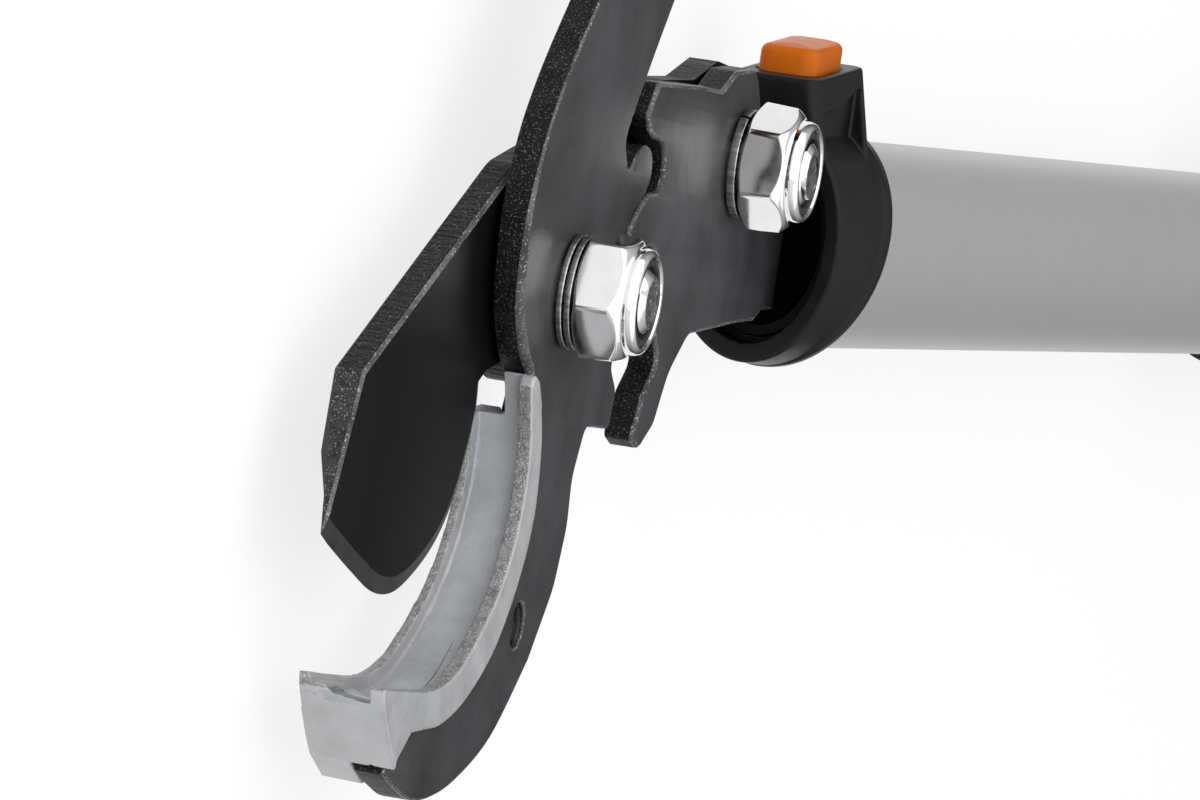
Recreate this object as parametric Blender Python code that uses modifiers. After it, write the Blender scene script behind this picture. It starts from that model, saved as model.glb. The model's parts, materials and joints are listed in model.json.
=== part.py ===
"""A long-handled anvil lopper: a toothed lever mechanism at the head and two telescoping handles.

The tool lies on its side, on its two bolt heads and its two grips, with +Z up. The origin is under the
main pivot, on the surface the tool lies on. X and Y span the plane in which the jaws open.
The feature that takes the most skill is the geared joint: the anvil arm's two teeth mesh with the
pockets of the lever, so that the blade closes while both handles are drawn together.
"""

from math import atan2, ceil, cos, degrees, hypot, pi, radians, sin, tan

import bmesh
import bpy
from mathutils import Matrix, Vector

MM = 0.001

# Clearance between pieces that touch
GAP = 0.0003

# Plates of the head, counted down from their front face, which is at height 0 in the head's own frame
PLATE = 0.0044
PLATE_SPACING = 0.0009
PIVOT_DISTANCE = 0.08606
PIVOT_ANGLE = 15.8
CLOSING_ANGLE = 14.0
TOOTH_PITCH_ANGLE = 29.0
GEAR_RATIO = 2 / 3

# Anvil
TROUGH_DEPTH = 0.0023
ANVIL_FLOOR = 0.0022
ANVIL_FRONT = 0.0018
NEAR_WALL_INSIDE = -0.0003
ANVIL_REAR = -0.0072
FAR_WALL = 0.0014
FLARE_X = 0.015
FLARE_Y = 0.040
FLARE_RISE = 0.0007
FLARE_STARTS = -0.020
FLARE_ENDS = -0.065
ANVIL_TOP_STEP = -0.0030
SCREW_SEAT_RADIUS = 0.0078

# Blade
EDGE_DEPTH = 0.0006
TIP_TAPER = 1.85
FRONT_BEVEL = 0.0025
REAR_BEVEL = 0.0125
SPINE_CHAMFER = 0.0007
HEEL_DROP = 0.0012
HEEL_STARTS = -0.0290
HEEL_LENGTH = 0.0070
HEEL_NARROWING = 0.4
BLADE_HUB_RADIUS = 0.014

# Fasteners
BOLT_RADIUS = 0.005
BOLT_HEAD = 0.0064
BOLT_PAST_NUT = 0.0004
HEX_FLATS = 0.017
REAR_WASHER = 0.0013
REAR_WASHER_RADIUS = 0.010
FRONT_WASHER = 0.0009
FRONT_WASHER_RADIUS = 0.0082
SPRING_WASHER = 0.0015
NUT_HEX = 0.0067
NUT_HEIGHT = 0.0090
NUT_COLLAR_RADIUS = 0.0077
NUT_RING = 0.0020
NUT_RING_RADIUS = 0.0062
NUT_RING_SUNK = 0.0002
WASHER_SPLIT_ANGLE = 123.0
WASHER_SPLIT = 0.0006
FRICTION_CLEARANCE = 0.0002
BOLT_HEAD_TURN = 20.0
CORNER_CHAMFER = 0.0008
END_CHAMFER = 0.0010
FRICTION_RADIUS = 0.0120
PIVOT_NUT_TURN = 12.0
LEVER_NUT_TURN = 30.0
ANVIL_SCREW_RADIUS = 0.0030
ANVIL_SCREW_HEAD_RADIUS = 0.0052
ANVIL_SCREW_HEAD = 0.0035
ANVIL_SCREW_DEPTH = 0.0025
ANVIL_SCREW_EDGE = 0.0005
ANVIL_EAR = 0.0036
RIVET_RADIUS = 0.0030
RIVET_SUNK = 0.0004

# Handles: the line each follows, from the middle of its collar's front
ARM_HANDLE_ANGLE = 50.0
ARM_COLLAR_DISTANCE = 0.112
ARM_HANDLE_OFFSET = 0.0171
LEVER_HANDLE_ANGLE = 2.4
LEVER_COLLAR = (0.1089, 0.0131)

# Ovals across a handle: half the size in the plane of the jaws and half the size upright
OUTER_TUBE = (0.0163, 0.0118)
TUBE_WALL = 0.0015
COLLAR_FRONT = (0.0187, 0.0131)
COLLAR_RIM = (0.0193, 0.0148)
COLLAR_MOUTH_ACROSS = 0.0157
COLLAR_LENGTH = 0.024
COLLAR_LIP = 0.0060
COLLAR_RIM_LENGTH = 0.0035
COLLAR_STEP = 0.0020
COLLAR_SLANT = 0.45
COLLAR_EDGE = 0.0006
TANG_HALF = 0.0105
TANG_IN_TUBE = 0.055
ARM_TANG_NECK = (-0.004, 0.004)
LEVER_TANG_NECK = (0.001, 0.002)
TUBE_RECESS = 0.0060
INNER_TUBE_LENGTH = 0.380
OUTER_TUBE_END = 0.500
PLUG_LENGTH = 0.060
BUSHING_DEPTH = 0.018
BUSHING_RIM = 0.0030
BUSHING_WALL = 0.0018
RIVET_PLACES = (0.020, 0.044)
LOCK_HOLES = 6
LOCK_HOLE_STEP = 0.050

# Lock tower on the collar, its button and its pin
TOWER_WIDTH = 0.0133
TOWER_BASE_WIDTH = 0.0196
TOWER_BASE = 0.0130
TOWER_FRONT = -0.0029
TOWER_LENGTH = 0.0284
TOWER_HEIGHT = 0.0250
TOWER_EDGE = 0.0005
HOLLOW_WALL = 0.0011
TOWER_SLOPE = 6.0
TOWER_CORNER = 0.0022
BUTTON_WIDTH = 0.0092
BUTTON_LENGTH = 0.0180
BUTTON_PLACE = 0.0106
BUTTON_PROUD = 0.0043
BUTTON_TRAVEL = 0.0020
BUTTON_CORNER = 0.0026
BUTTON_EDGE = 0.0010
LOCK_PIN_RADIUS = 0.0028
LOCK_PIN_FLANGE = 0.0040
LOCK_FLANGE_THICKNESS = 0.0010
LOCK_PIN_DEEPEST = 0.0050

# Grip
GRIP_START = 0.345
CAP_SIDE = 0.006
CAP_DEPTH = 0.020

# Facets
ARC_STEP = 24.0
CURVE_STEPS = 3
ROUND_FACETS = 24
OVAL_FACETS = 28
PIN_FACETS = 16

# Heights in the head's frame, worked out from the sizes above
ARM_REAR = -PLATE
BLADE_FRONT = ARM_REAR - PLATE_SPACING
BLADE_REAR = BLADE_FRONT - PLATE
REAR_WASHER_TOP = BLADE_REAR - GAP
BOLT_HEAD_TOP = REAR_WASHER_TOP - REAR_WASHER - GAP
FACE_HEIGHT = BOLT_HEAD - BOLT_HEAD_TOP
WASHERS_TOP = 2 * GAP + 2 * FRONT_WASHER
PIVOT_NUT_BOTTOM = WASHERS_TOP + GAP
LEVER_NUT_BOTTOM = GAP + SPRING_WASHER + GAP
HANDLE_HEIGHT = -PLATE / 2
GRIP_HALF = FACE_HEIGHT + HANDLE_HEIGHT
INNER_TUBE = (OUTER_TUBE[0] - TUBE_WALL - GAP, OUTER_TUBE[1] - TUBE_WALL - GAP)
COLLAR_MOUTH = (COLLAR_MOUTH_ACROSS, INNER_TUBE[1] + GAP)
WELL_FLOOR = COLLAR_FRONT[0] + 0.0008
BUTTON_UNDER = WELL_FLOOR + GAP + LOCK_FLANGE_THICKNESS + BUTTON_TRAVEL
BUTTON_HEIGHT = TOWER_HEIGHT + BUTTON_PROUD - BUTTON_UNDER

# Outlines of the head in its plane, as corners in millimetres; a third number rounds the corner.
# Those of a tang are along and across its handle, from the middle of the collar's front.
ANVIL_RIDGE = [(-18.4, -14.8), (-16.3, -18.4), (-14.2, -22.6), (-13.1, -28.8), (-14.3, -36.2),
               (-18.0, -42.8), (-24.5, -49.0), (-33.0, -54.5), (-43.0, -57.2), (-55.0, -57.6),
               (-68.5, -57.5)]
ANVIL_FLANGE = [(-51.6, -63.3), (-45.0, -62.8), (-37.0, -61.9), (-26.6, -58.2), (-16.0, -51.0),
                (-8.7, -40.5), (-6.4, -31.2), (-8.5, -21.9), (-11.6, -16.9)]
ANVIL_NOSE = [(-68.5, -57.5), (-67.4, -59.6), (-64.4, -62.5), (-60.6, -65.8), (-56.7, -68.7)]
ANVIL_TOP = [(-11.0, -16.9), (-14.6, -13.2, 1.0), (-17.6, -12.3, 1.2)]
ANVIL_TOP_CUT = [(-40.0, -21.0), (-17.5, -21.0), (-13.4, -18.6), (-9.0, -17.6), (0.0, -17.4),
                 (0.0, 0.0), (-40.0, 0.0)]
ANVIL_TRIM = [(-8.0, -8.0), (40.0, -8.0), (40.0, -90.0), (-56.7, -90.0), (-56.7, -67.2)]
TROUGH_ENDS = [(-24.0, -6.0), (-90.0, -59.8), (-90.0, 0.0)]
SEAT_ENDS = (-56.0, -18.5)
ANVIL_REAR_SIDE = [(-49.0, -71.6), (-35.0, -69.0), (-20.0, -63.0), (-8.0, -56.5), (-4.0, -53.5),
                   (0.0, -54.2), (6.0, -50.6), (6.0, -44.6), (0.0, -41.2), (-3.0, -38.0),
                   (-3.2, -31.0), (-5.5, -23.0), (-9.0, -17.6)]
ANVIL_SCREW_PLACE = (0.0, -47.7)
ARM_FACE = [(-14.2, 34.2), (-19.2, 28.2), (-23.8, 20.8), (-26.2, 12.0), (-25.8, 4.0), (-23.0, -4.2),
            (-17.5, -9.8), (-13.2, -12.3), (-9.8, -15.6)]
ARM_BACK = [(8.6, -52.6), (-5.0, -63.8), (-20.0, -70.0), (-32.0, -72.5), (-41.0, -72.8), (-48.7, -71.4),
            (-53.3, -70.2)]
ARM_TIP = [(-56.2, -69.3, 0.8), (-56.9, -62.3, 1.0)]
ARM_SHOULDER = [(26.0, 36.2), (20.0, 27.7), (17.6, 23.6), (17.7, 21.8)]
TOOTH = [(20.6, 18.8), (22.6, 19.0), (25.2, 21.4), (28.8, 22.6), (32.4, 21.8), (34.0, 19.0),
         (32.4, 15.9), (28.2, 13.4), (25.8, 11.0)]
ARM_STOP = [(28.7, -6.0, 2.0), (28.9, -9.8, 1.0), (33.3, -12.8, 2.0), (32.6, -18.5, 1.8),
            (20.0, -18.6, 2.5), (17.0, -26.0, 6.0), (18.4, -33.0, 8.0), (16.4, -42.0, 10.0)]
LEVER_TOP = [(31.2, 31.9, 2.0), (56.0, 33.1, 8.0), (67.3, 33.2, 4.0), (74.0, 36.6, 5.0), (85.6, 37.8, 6.0)]
LEVER_LOBE = [(27.5, 26.8, 0.8)]
POCKET = [(29.8, 24.8), (33.0, 23.9), (37.6, 23.5), (40.2, 21.8), (40.9, 18.8), (39.2, 16.6),
          (34.6, 15.8), (30.4, 13.2), (26.6, 9.7)]
LEVER_HOOK = [(47.0, -1.0, 6.0), (54.6, -8.0, 2.0), (49.2, -12.6, 3.0), (48.0, -16.0, 3.0),
              (46.0, -19.4, 1.0), (51.0, -20.8, 2.5), (57.3, -17.0, 4.0), (61.4, -9.2, 10.0),
              (69.4, -3.0, 7.0)]
LEVER_UNDER_TANG = [(-12.0, -12.5, 8.0), (-3.0, -12.2, 3.0)]
LEVER_OVER_TANG = [(-3.0, 12.8, 4.0), (-12.0, 13.5, 4.0)]
BLADE_SPINE = [(-76.6, -15.4), (-19.0, 16.0, 12.0)]
BLADE_TIP = (-84.2, -38.0)
BLADE_HEEL = [(-18.0, -12.9), (-14.6, -12.1)]
CARRIER_TOP = [(52.0, 33.0, 12.0), (69.4, 34.2, 8.0), (81.5, 37.9, 2.0)]
CARRIER_END = [(96.5, 37.4, 8.0), (96.5, 9.0, 9.0), (74.0, 7.0, 20.0), (16.0, -14.0, 12.0)]

# The hollow in the lock tower's side, in the handle's frame, along and across in millimetres
TOWER_HOLLOW = [(-1.4, 12.0), (22.7, 12.0), (22.7, 24.7), (18.6, 24.0), (10.0, 21.2), (-1.4, 20.1)]

# Half sizes of the grip and its end cap along the handle: (along, across, upright)
GRIP_SHAPE = [(0.0, 0.0174, 0.0130), (0.002, 0.0182, 0.0137), (0.012, 0.0188, 0.0146)]
GRIP_SWELLS = [(0.045, 0.0196), (0.100, 0.0190), (0.132, 0.0196), (0.148, 0.0224), (0.155, 0.0228)]
CAP_SHAPE = [(0.009, 0.0208, 0.0140), (0.012, 0.0160, 0.0096)]


def place(origin, angle, along, across):
    """A point given along and across a line that leaves the origin at an angle in degrees."""
    c, s = cos(radians(angle)), sin(radians(angle))
    return (origin[0] + along * c - across * s, origin[1] + along * s + across * c)


MAIN_PIVOT = (0.0, 0.0)
LEVER_PIVOT = place(MAIN_PIVOT, PIVOT_ANGLE, PIVOT_DISTANCE, 0)
ARM_COLLAR = place(MAIN_PIVOT, ARM_HANDLE_ANGLE, ARM_COLLAR_DISTANCE, ARM_HANDLE_OFFSET)

# Turns a shape drawn in X and Y so that its height runs along the handle, or across it in the jaws' plane
ALONG_HANDLE = Matrix(((0, 0, 1, 0), (1, 0, 0, 0), (0, 1, 0, 0), (0, 0, 0, 1)))
ACROSS_HANDLE = Matrix(((0, 1, 0, 0), (0, 0, 1, 0), (1, 0, 0, 0), (0, 0, 0, 1)))
UPRIGHT = Matrix()


def mm(corners):
    """Corners in millimetres as corners in metres."""
    return [tuple(value * MM for value in corner) for corner in corners]


def smooth(points, steps=CURVE_STEPS):
    """Points along one smooth curve through the given ones."""
    ends = [points[0]] + list(points) + [points[-1]]
    found = []
    for before, start, end, after in zip(ends, ends[1:], ends[2:], ends[3:]):
        for step in range(steps):
            t = step / steps
            found.append(tuple(
                q + ((r - p) + (2 * p - 5 * q + 4 * r - s) * t + (3 * q - 3 * r + s - p) * t ** 2) * t / 2
                for p, q, r, s in zip(before, start, end, after)))
    return found + [points[-1]]


def arc(centre, radius, start, end, step=ARC_STEP):
    """Points of an arc between two angles in degrees."""
    count = max(2, ceil(abs(end - start) / step))
    return [place(centre, start + (end - start) * i / count, radius, 0) for i in range(count + 1)]


def rounded(before, corner, after):
    """The points that replace one corner: itself, or an arc of its radius."""
    x, y, radius = corner
    if not radius:
        return [(x, y)]
    to_before = atan2(before[1] - y, before[0] - x)
    to_after = atan2(after[1] - y, after[0] - x)
    between = (to_after - to_before + pi) % (2 * pi) - pi
    middle = degrees(to_before + between / 2)
    centre = place((x, y), middle, radius / abs(sin(between / 2)), 0)
    turn = degrees(pi - abs(between)) / 2
    ends = (turn, -turn) if between > 0 else (-turn, turn)
    return arc(centre, radius, middle + 180 + ends[0], middle + 180 + ends[1])


def outline(*stretches):
    """One closed outline from stretches of corners, each (x, y) or (x, y, radius)."""
    corners = [tuple(c) + (0,) * (3 - len(c)) for stretch in stretches for c in stretch]
    points = []
    for before, corner, after in zip(corners[-1:] + corners[:-1], corners, corners[1:] + corners[:1]):
        points += rounded(before, corner, after)
    return points


def circle(centre, radius, facets=ROUND_FACETS):
    return arc(centre, radius, 0, 360, 360 / facets)[:-1]


def turned_about(points, centre, angle):
    """The points turned about a centre by an angle in degrees."""
    return [place(centre, angle, x - centre[0], y - centre[1]) for x, y in points]


def offset_path(points, distances):
    """An open path moved to the left of its direction, by one distance or one for each point."""
    if not isinstance(distances, list):
        distances = [distances] * len(points)
    found = []
    for i, distance in enumerate(distances):
        before, after = points[max(i - 1, 0)], points[min(i + 1, len(points) - 1)]
        dx, dy = after[0] - before[0], after[1] - before[1]
        length = hypot(dx, dy)
        found.append((points[i][0] - dy / length * distance, points[i][1] + dx / length * distance))
    return found


def oval(half_across, half_upright, facets=OVAL_FACETS):
    """An oval's points, with a flat facet at the bottom and at the top."""
    turns = [(i + 0.5) / facets * 2 * pi for i in range(facets)]
    return [(half_across * cos(t), half_upright * sin(t) / cos(pi / facets)) for t in turns]


def grown(size, by):
    return (size[0] + by, size[1] + by)


def rectangle(centre, half_x, half_y, radius):
    x, y = centre
    return outline([(x - half_x, y - half_y, radius), (x + half_x, y - half_y, radius),
                    (x + half_x, y + half_y, radius), (x - half_x, y + half_y, radius)])


def material(name, colour, roughness, metallic=0.0):
    """A plain surface of one colour, made once for each name."""
    found = bpy.data.materials.get(name)
    if found:
        return found
    found = bpy.data.materials.new(name)
    found.use_nodes = True
    shader = found.node_tree.nodes["Principled BSDF"]
    shader.inputs["Base Color"].default_value = (*colour, 1)
    shader.inputs["Roughness"].default_value = roughness
    shader.inputs["Metallic"].default_value = metallic
    return found


def coated_steel():
    return material("black_coated_steel", (0.045, 0.046, 0.050), 0.45, 0.3)


def blade_coating():
    return material("blade_coating", (0.020, 0.020, 0.022), 0.35, 0.3)


def cast_metal():
    return material("cast_anvil_metal", (0.50, 0.50, 0.52), 0.42, 0.9)


def zinc():
    return material("bright_zinc", (0.62, 0.63, 0.66), 0.25, 1.0)


def black_plastic():
    return material("black_plastic", (0.018, 0.018, 0.020), 0.5)


def orange_plastic():
    return material("orange_plastic", (0.70, 0.16, 0.01), 0.45)


def nylon():
    return material("nylon", (0.55, 0.57, 0.62), 0.5)


def bronze():
    return material("friction_disc", (0.25, 0.17, 0.08), 0.5, 0.8)


def painted_tube():
    return material("grey_tube", (0.42, 0.43, 0.44), 0.35, 0.5)


def dark_tube():
    return material("dark_tube", (0.05, 0.05, 0.055), 0.4, 0.5)


def soft_rubber():
    return material("soft_rubber", (0.022, 0.022, 0.024), 0.8)


def clear_scene():
    for obj in list(bpy.data.objects):
        bpy.data.objects.remove(obj, do_unlink=True)


def collection(name, hidden=False):
    found = bpy.data.collections.get(name)
    if not found:
        found = bpy.data.collections.new(name)
        bpy.context.scene.collection.children.link(found)
        found.hide_render = hidden
    return found


def empty(name, location, angle=0.0, parent=None, flip=False):
    """A joint's axis or a handle's line: X along it, turned over about X where flip is set."""
    found = bpy.data.objects.new(name, None)
    found.empty_display_size = 0.02
    collection("anvil_lopper").objects.link(found)
    found.parent = parent
    found.matrix_local = (Matrix.Translation(location) @ Matrix.Rotation(radians(angle), 4, "Z")
                          @ Matrix.Rotation(pi if flip else 0, 4, "X"))
    return found


def add(name, mesh, surface, parent, smooth_angle=30.0):
    """A named object of one material, shaded smooth but for its real edges."""
    obj = bpy.data.objects.new(name, mesh)
    collection("anvil_lopper").objects.link(obj)
    obj.parent = parent
    mesh.materials.clear()
    if surface:
        mesh.materials.append(surface)
    mesh.shade_smooth()
    mesh.set_sharp_from_angle(angle=radians(smooth_angle))
    return obj


def prism(name, loops, low, high, surface=None, parent=None, axes=UPRIGHT):
    """A flat outline, with its holes as further loops, made as thick as from low to high."""
    curve = bpy.data.curves.new(name, "CURVE")
    curve.dimensions = "2D"
    curve.fill_mode = "BOTH"
    curve.resolution_u = 1
    curve.extrude = (high - low) / 2
    for loop in loops:
        spline = curve.splines.new("POLY")
        spline.points.add(len(loop) - 1)
        spline.use_cyclic_u = True
        for point, (x, y) in zip(spline.points, loop):
            point.co = (x, y, 0, 1)
    flat = bpy.data.objects.new(name + "_outline", curve)
    bpy.context.scene.collection.objects.link(flat)
    bpy.context.view_layer.update()
    solid = bpy.data.meshes.new_from_object(flat.evaluated_get(bpy.context.evaluated_depsgraph_get()))
    bpy.data.objects.remove(flat, do_unlink=True)
    weld(solid)
    solid.transform(axes @ Matrix.Translation((0, 0, (low + high) / 2)))
    return add(name, solid, surface, parent)


def weld(solid):
    work = bmesh.new()
    work.from_mesh(solid)
    bmesh.ops.remove_doubles(work, verts=work.verts, dist=0.00001)
    work.to_mesh(solid)
    work.free()


def turned(name, profile, surface=None, parent=None, axes=UPRIGHT, centre=(0, 0), closed=False,
           facets=ROUND_FACETS):
    """A profile of (radius, height) points, top to bottom on its outer side, turned about a centre."""
    mesh = bpy.data.meshes.new(name)
    edges = [(i, i + 1) for i in range(len(profile) - 1)]
    if closed:
        edges.append((len(profile) - 1, 0))
    mesh.from_pydata([(radius, 0, height) for radius, height in profile], edges, [])
    obj = bpy.data.objects.new(name, mesh)
    bpy.context.scene.collection.objects.link(obj)
    screw = obj.modifiers.new("turn", "SCREW")
    screw.steps = facets
    screw.render_steps = facets
    screw.use_merge_vertices = True
    screw.merge_threshold = 0.00001
    bpy.context.view_layer.update()
    solid = bpy.data.meshes.new_from_object(obj.evaluated_get(bpy.context.evaluated_depsgraph_get()))
    bpy.data.objects.remove(obj, do_unlink=True)
    solid.transform(axes @ Matrix.Translation((*centre, 0)))
    return add(name, solid, surface, parent)


def ring(name, inner, outer, low, high, surface, parent, **options):
    """A flat ring, such as a washer."""
    profile = [(inner, high), (outer, high), (outer, low), (inner, low)]
    return turned(name, profile, surface, parent, closed=True, **options)


def loft(name, rings, surface=None, parent=None, axes=UPRIGHT):
    """A solid through rings of as many points each, closed by a face at both ends."""
    count = len(rings[0])
    work = bmesh.new()
    rows = [[work.verts.new(point) for point in points] for points in rings]
    for low, high in zip(rows, rows[1:]):
        for i in range(count):
            j = (i + 1) % count
            work.faces.new((low[i], low[j], high[j], high[i]))
    work.faces.new(rows[0][::-1])
    work.faces.new(rows[-1])
    bmesh.ops.remove_doubles(work, verts=work.verts, dist=0.000001)
    bmesh.ops.recalc_face_normals(work, faces=work.faces)
    mesh = bpy.data.meshes.new(name)
    work.to_mesh(mesh)
    work.free()
    mesh.transform(axes)
    return add(name, mesh, surface, parent)


def round_bar(name, centre, radius, low, high, axes=UPRIGHT, facets=ROUND_FACETS):
    """A plain round bar, used to cut a hole."""
    profile = [(0, high), (radius, high), (radius, low), (0, low)]
    return turned(name, profile, centre=centre, axes=axes, facets=facets)


def hexagon(name, flats, low, high, turn, surface=None, parent=None, centre=(0, 0)):
    """A hexagonal bar, flats given as the size between two of them."""
    work = bmesh.new()
    radius = flats / sqrt3()
    bmesh.ops.create_cone(work, cap_ends=True, segments=6, radius1=radius, radius2=radius, depth=high - low)
    mesh = bpy.data.meshes.new(name)
    work.to_mesh(mesh)
    work.free()
    mesh.transform(Matrix.Translation((*centre, (low + high) / 2)) @ Matrix.Rotation(radians(turn), 4, "Z"))
    return add(name, mesh, surface, parent)


def sqrt3():
    return 2 * cos(radians(30))


def boolean(target, tool, operation):
    """Cuts, joins or crops a piece by another one, which becomes a hidden cutter."""
    change = target.modifiers.new(operation.lower() + "_" + tool.name, "BOOLEAN")
    change.operation = operation
    change.solver = "EXACT"
    change.object = tool
    tool.parent = target.parent
    collection("anvil_lopper").objects.unlink(tool)
    collection("cutters", hidden=True).objects.link(tool)
    tool.hide_render = True
    tool.display_type = "WIRE"
    return target


def cut(target, *tools):
    for tool in tools:
        boolean(target, tool, "DIFFERENCE")
    return target


def join(target, *tools):
    for tool in tools:
        boolean(target, tool, "UNION")
    return target


def ridge_path():
    """The top of the anvil's two walls, from its upper end to its nose."""
    return smooth(mm(ANVIL_RIDGE))


def floor_path(depth):
    """A path at a depth below the ridge."""
    return offset_path(ridge_path(), depth)


def gentle(corners):
    """A smooth curve, with few points, through corners given in millimetres."""
    return smooth(mm(corners), 2)


def on_handle(origin, angle, corners):
    """Corners given along and across a handle, as corners in the head's plane."""
    return [place(origin, angle, *corner[:2]) + tuple(corner[2:]) for corner in corners]


def tang(origin, angle, neck, neck_radius):
    """The upper and the lower corners of a plate's tang, which reaches into a handle."""
    over = [(TANG_IN_TUBE, TANG_HALF), (neck, TANG_HALF, neck_radius)]
    under = [(neck, -TANG_HALF, neck_radius), (TANG_IN_TUBE, -TANG_HALF)]
    return on_handle(origin, angle, over), on_handle(origin, angle, under)


def arm_outline():
    """The anvil arm: a curved jaw below, two gear teeth and a stop at the right, a tang above."""
    left, top = mm([SEAT_ENDS])[0]
    floor = floor_path(TROUGH_DEPTH + ANVIL_FLOOR + GAP)
    seat = [point for point in floor if point[0] > left and point[1] < top]
    tooth = gentle(TOOTH)
    second_tooth = turned_about(tooth, MAIN_PIVOT, -TOOTH_PITCH_ANGLE)
    over, under = tang(ARM_COLLAR, ARM_HANDLE_ANGLE, *ARM_TANG_NECK)
    return outline(over, gentle(ARM_FACE), seat, mm(ARM_TIP[::-1]), gentle(ARM_BACK)[::-1],
                   mm(ARM_STOP[::-1]), second_tooth[::-1], tooth[::-1], gentle(ARM_SHOULDER)[::-1], under)


def lever_outline():
    """The lever: two pockets that take the arm's teeth, a hook below and a tang to the right."""
    pocket = gentle(POCKET)
    shared_points = 5
    second_pocket = turned_about(pocket, LEVER_PIVOT, TOOTH_PITCH_ANGLE * GEAR_RATIO)[:-shared_points]
    over, under = tang(LEVER_COLLAR, LEVER_HANDLE_ANGLE, *LEVER_TANG_NECK)
    return outline(mm(LEVER_TOP[::-1]), mm(LEVER_LOBE), pocket, second_pocket, mm(LEVER_HOOK),
                   on_handle(LEVER_COLLAR, LEVER_HANDLE_ANGLE, mm(LEVER_UNDER_TANG)), under, over,
                   on_handle(LEVER_COLLAR, LEVER_HANDLE_ANGLE, mm(LEVER_OVER_TANG)))


def rivet_holes(origin, angle):
    """The outlines of a tang's rivet holes."""
    return [circle(place(origin, angle, along, 0), RIVET_RADIUS + GAP, PIN_FACETS) for along in RIVET_PLACES]


def anvil_arm(parent):
    screw_place = mm([ANVIL_SCREW_PLACE])[0]
    holes = [circle(MAIN_PIVOT, BOLT_RADIUS + GAP), circle(screw_place, ANVIL_SCREW_RADIUS + GAP)]
    holes += rivet_holes(ARM_COLLAR, ARM_HANDLE_ANGLE)
    return prism("anvil_arm", [arm_outline()] + holes, ARM_REAR, 0, coated_steel(), parent)


def lever(parent):
    holes = [circle(LEVER_PIVOT, BOLT_RADIUS + GAP)] + rivet_holes(LEVER_COLLAR, LEVER_HANDLE_ANGLE)
    about_pivot = Matrix.Translation((-LEVER_PIVOT[0], -LEVER_PIVOT[1], 0))
    return prism("lever", [lever_outline()] + holes, ARM_REAR, 0, coated_steel(), parent, about_pivot)


def grown_outline(points, by):
    """A closed outline moved outwards on every side."""
    area = sum(a[0] * b[1] - b[0] * a[1] for a, b in zip(points, points[1:] + points[:1]))
    side = -by if area > 0 else by
    found = []
    for before, point, after in zip(points[-1:] + points[:-1], points, points[1:] + points[:1]):
        to_point = Vector((point[0] - before[0], point[1] - before[1])).normalized()
        from_point = Vector((after[0] - point[0], after[1] - point[1])).normalized()
        along = (to_point + from_point).normalized()
        reach = side / max(0.4, along.dot(to_point))
        found.append((point[0] - along.y * reach, point[1] + along.x * reach))
    return found


def flared(solid, rise=0.0):
    """Tilts the low face of a prism as the anvil's far wall flares, and can rise, towards the nose."""
    for vertex in solid.data.vertices:
        if vertex.co.z < ARM_REAR:
            x, y, z = vertex.co
            share = min(1, max(0, (x - FLARE_STARTS) / (FLARE_ENDS - FLARE_STARTS)))
            vertex.co = (x, y + rise * share, z + FLARE_X * x + FLARE_Y * y)
    return solid


def anvil(parent):
    """The cast anvil: a channel between two walls, whose flanges hold the arm's edge from both sides."""
    sides = outline(ridge_path()[:-1], gentle(ANVIL_NOSE)[:-1],
                    mm(ANVIL_NOSE[-1:] + ANVIL_REAR_SIDE + ANVIL_TOP))
    block = flared(prism("anvil", [sides], ANVIL_REAR, ANVIL_FRONT, cast_metal(), parent), FLARE_RISE)
    past_top, past_nose, above = mm(TROUGH_ENDS)
    channel = outline([past_top], floor_path(TROUGH_DEPTH)[1:-1], [past_nose, above])
    trough = flared(prism("anvil_trough", [channel], ANVIL_REAR + FAR_WALL, NEAR_WALL_INSIDE))
    slot = prism("anvil_slot", [grown_outline(arm_outline(), GAP)], ARM_REAR - GAP, GAP)
    in_front = outline(gentle(ANVIL_FLANGE), mm(ANVIL_TRIM))
    trim = prism("anvil_front_trim", [in_front], ARM_REAR / 2, 2 * ANVIL_FRONT)
    below = 4 * ANVIL_REAR
    top_cut = prism("anvil_top_cut", [mm(ANVIL_TOP_CUT)], below, ANVIL_TOP_STEP)
    centre = mm([ANVIL_SCREW_PLACE])[0]
    seat = round_bar("anvil_screw_seat", centre, SCREW_SEAT_RADIUS, below, ARM_REAR - GAP - ANVIL_EAR)
    hole = round_bar("anvil_screw_hole", centre, ANVIL_SCREW_RADIUS + GAP, below, ARM_REAR / 2)
    return cut(block, trough, slot, trim, top_cut, seat, hole)


def anvil_screw(parent):
    under_head = ARM_REAR - 2 * GAP - ANVIL_EAR
    low, end = under_head - ANVIL_SCREW_HEAD, -ANVIL_SCREW_DEPTH
    edge = ANVIL_SCREW_EDGE
    profile = [(0, end), (ANVIL_SCREW_RADIUS - edge, end), (ANVIL_SCREW_RADIUS, end - edge),
               (ANVIL_SCREW_RADIUS, under_head), (ANVIL_SCREW_HEAD_RADIUS, under_head),
               (ANVIL_SCREW_HEAD_RADIUS, low + 2 * edge), (ANVIL_SCREW_HEAD_RADIUS - 2 * edge, low), (0, low)]
    return turned("anvil_screw", profile, zinc(), parent, centre=mm([ANVIL_SCREW_PLACE])[0])


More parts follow.
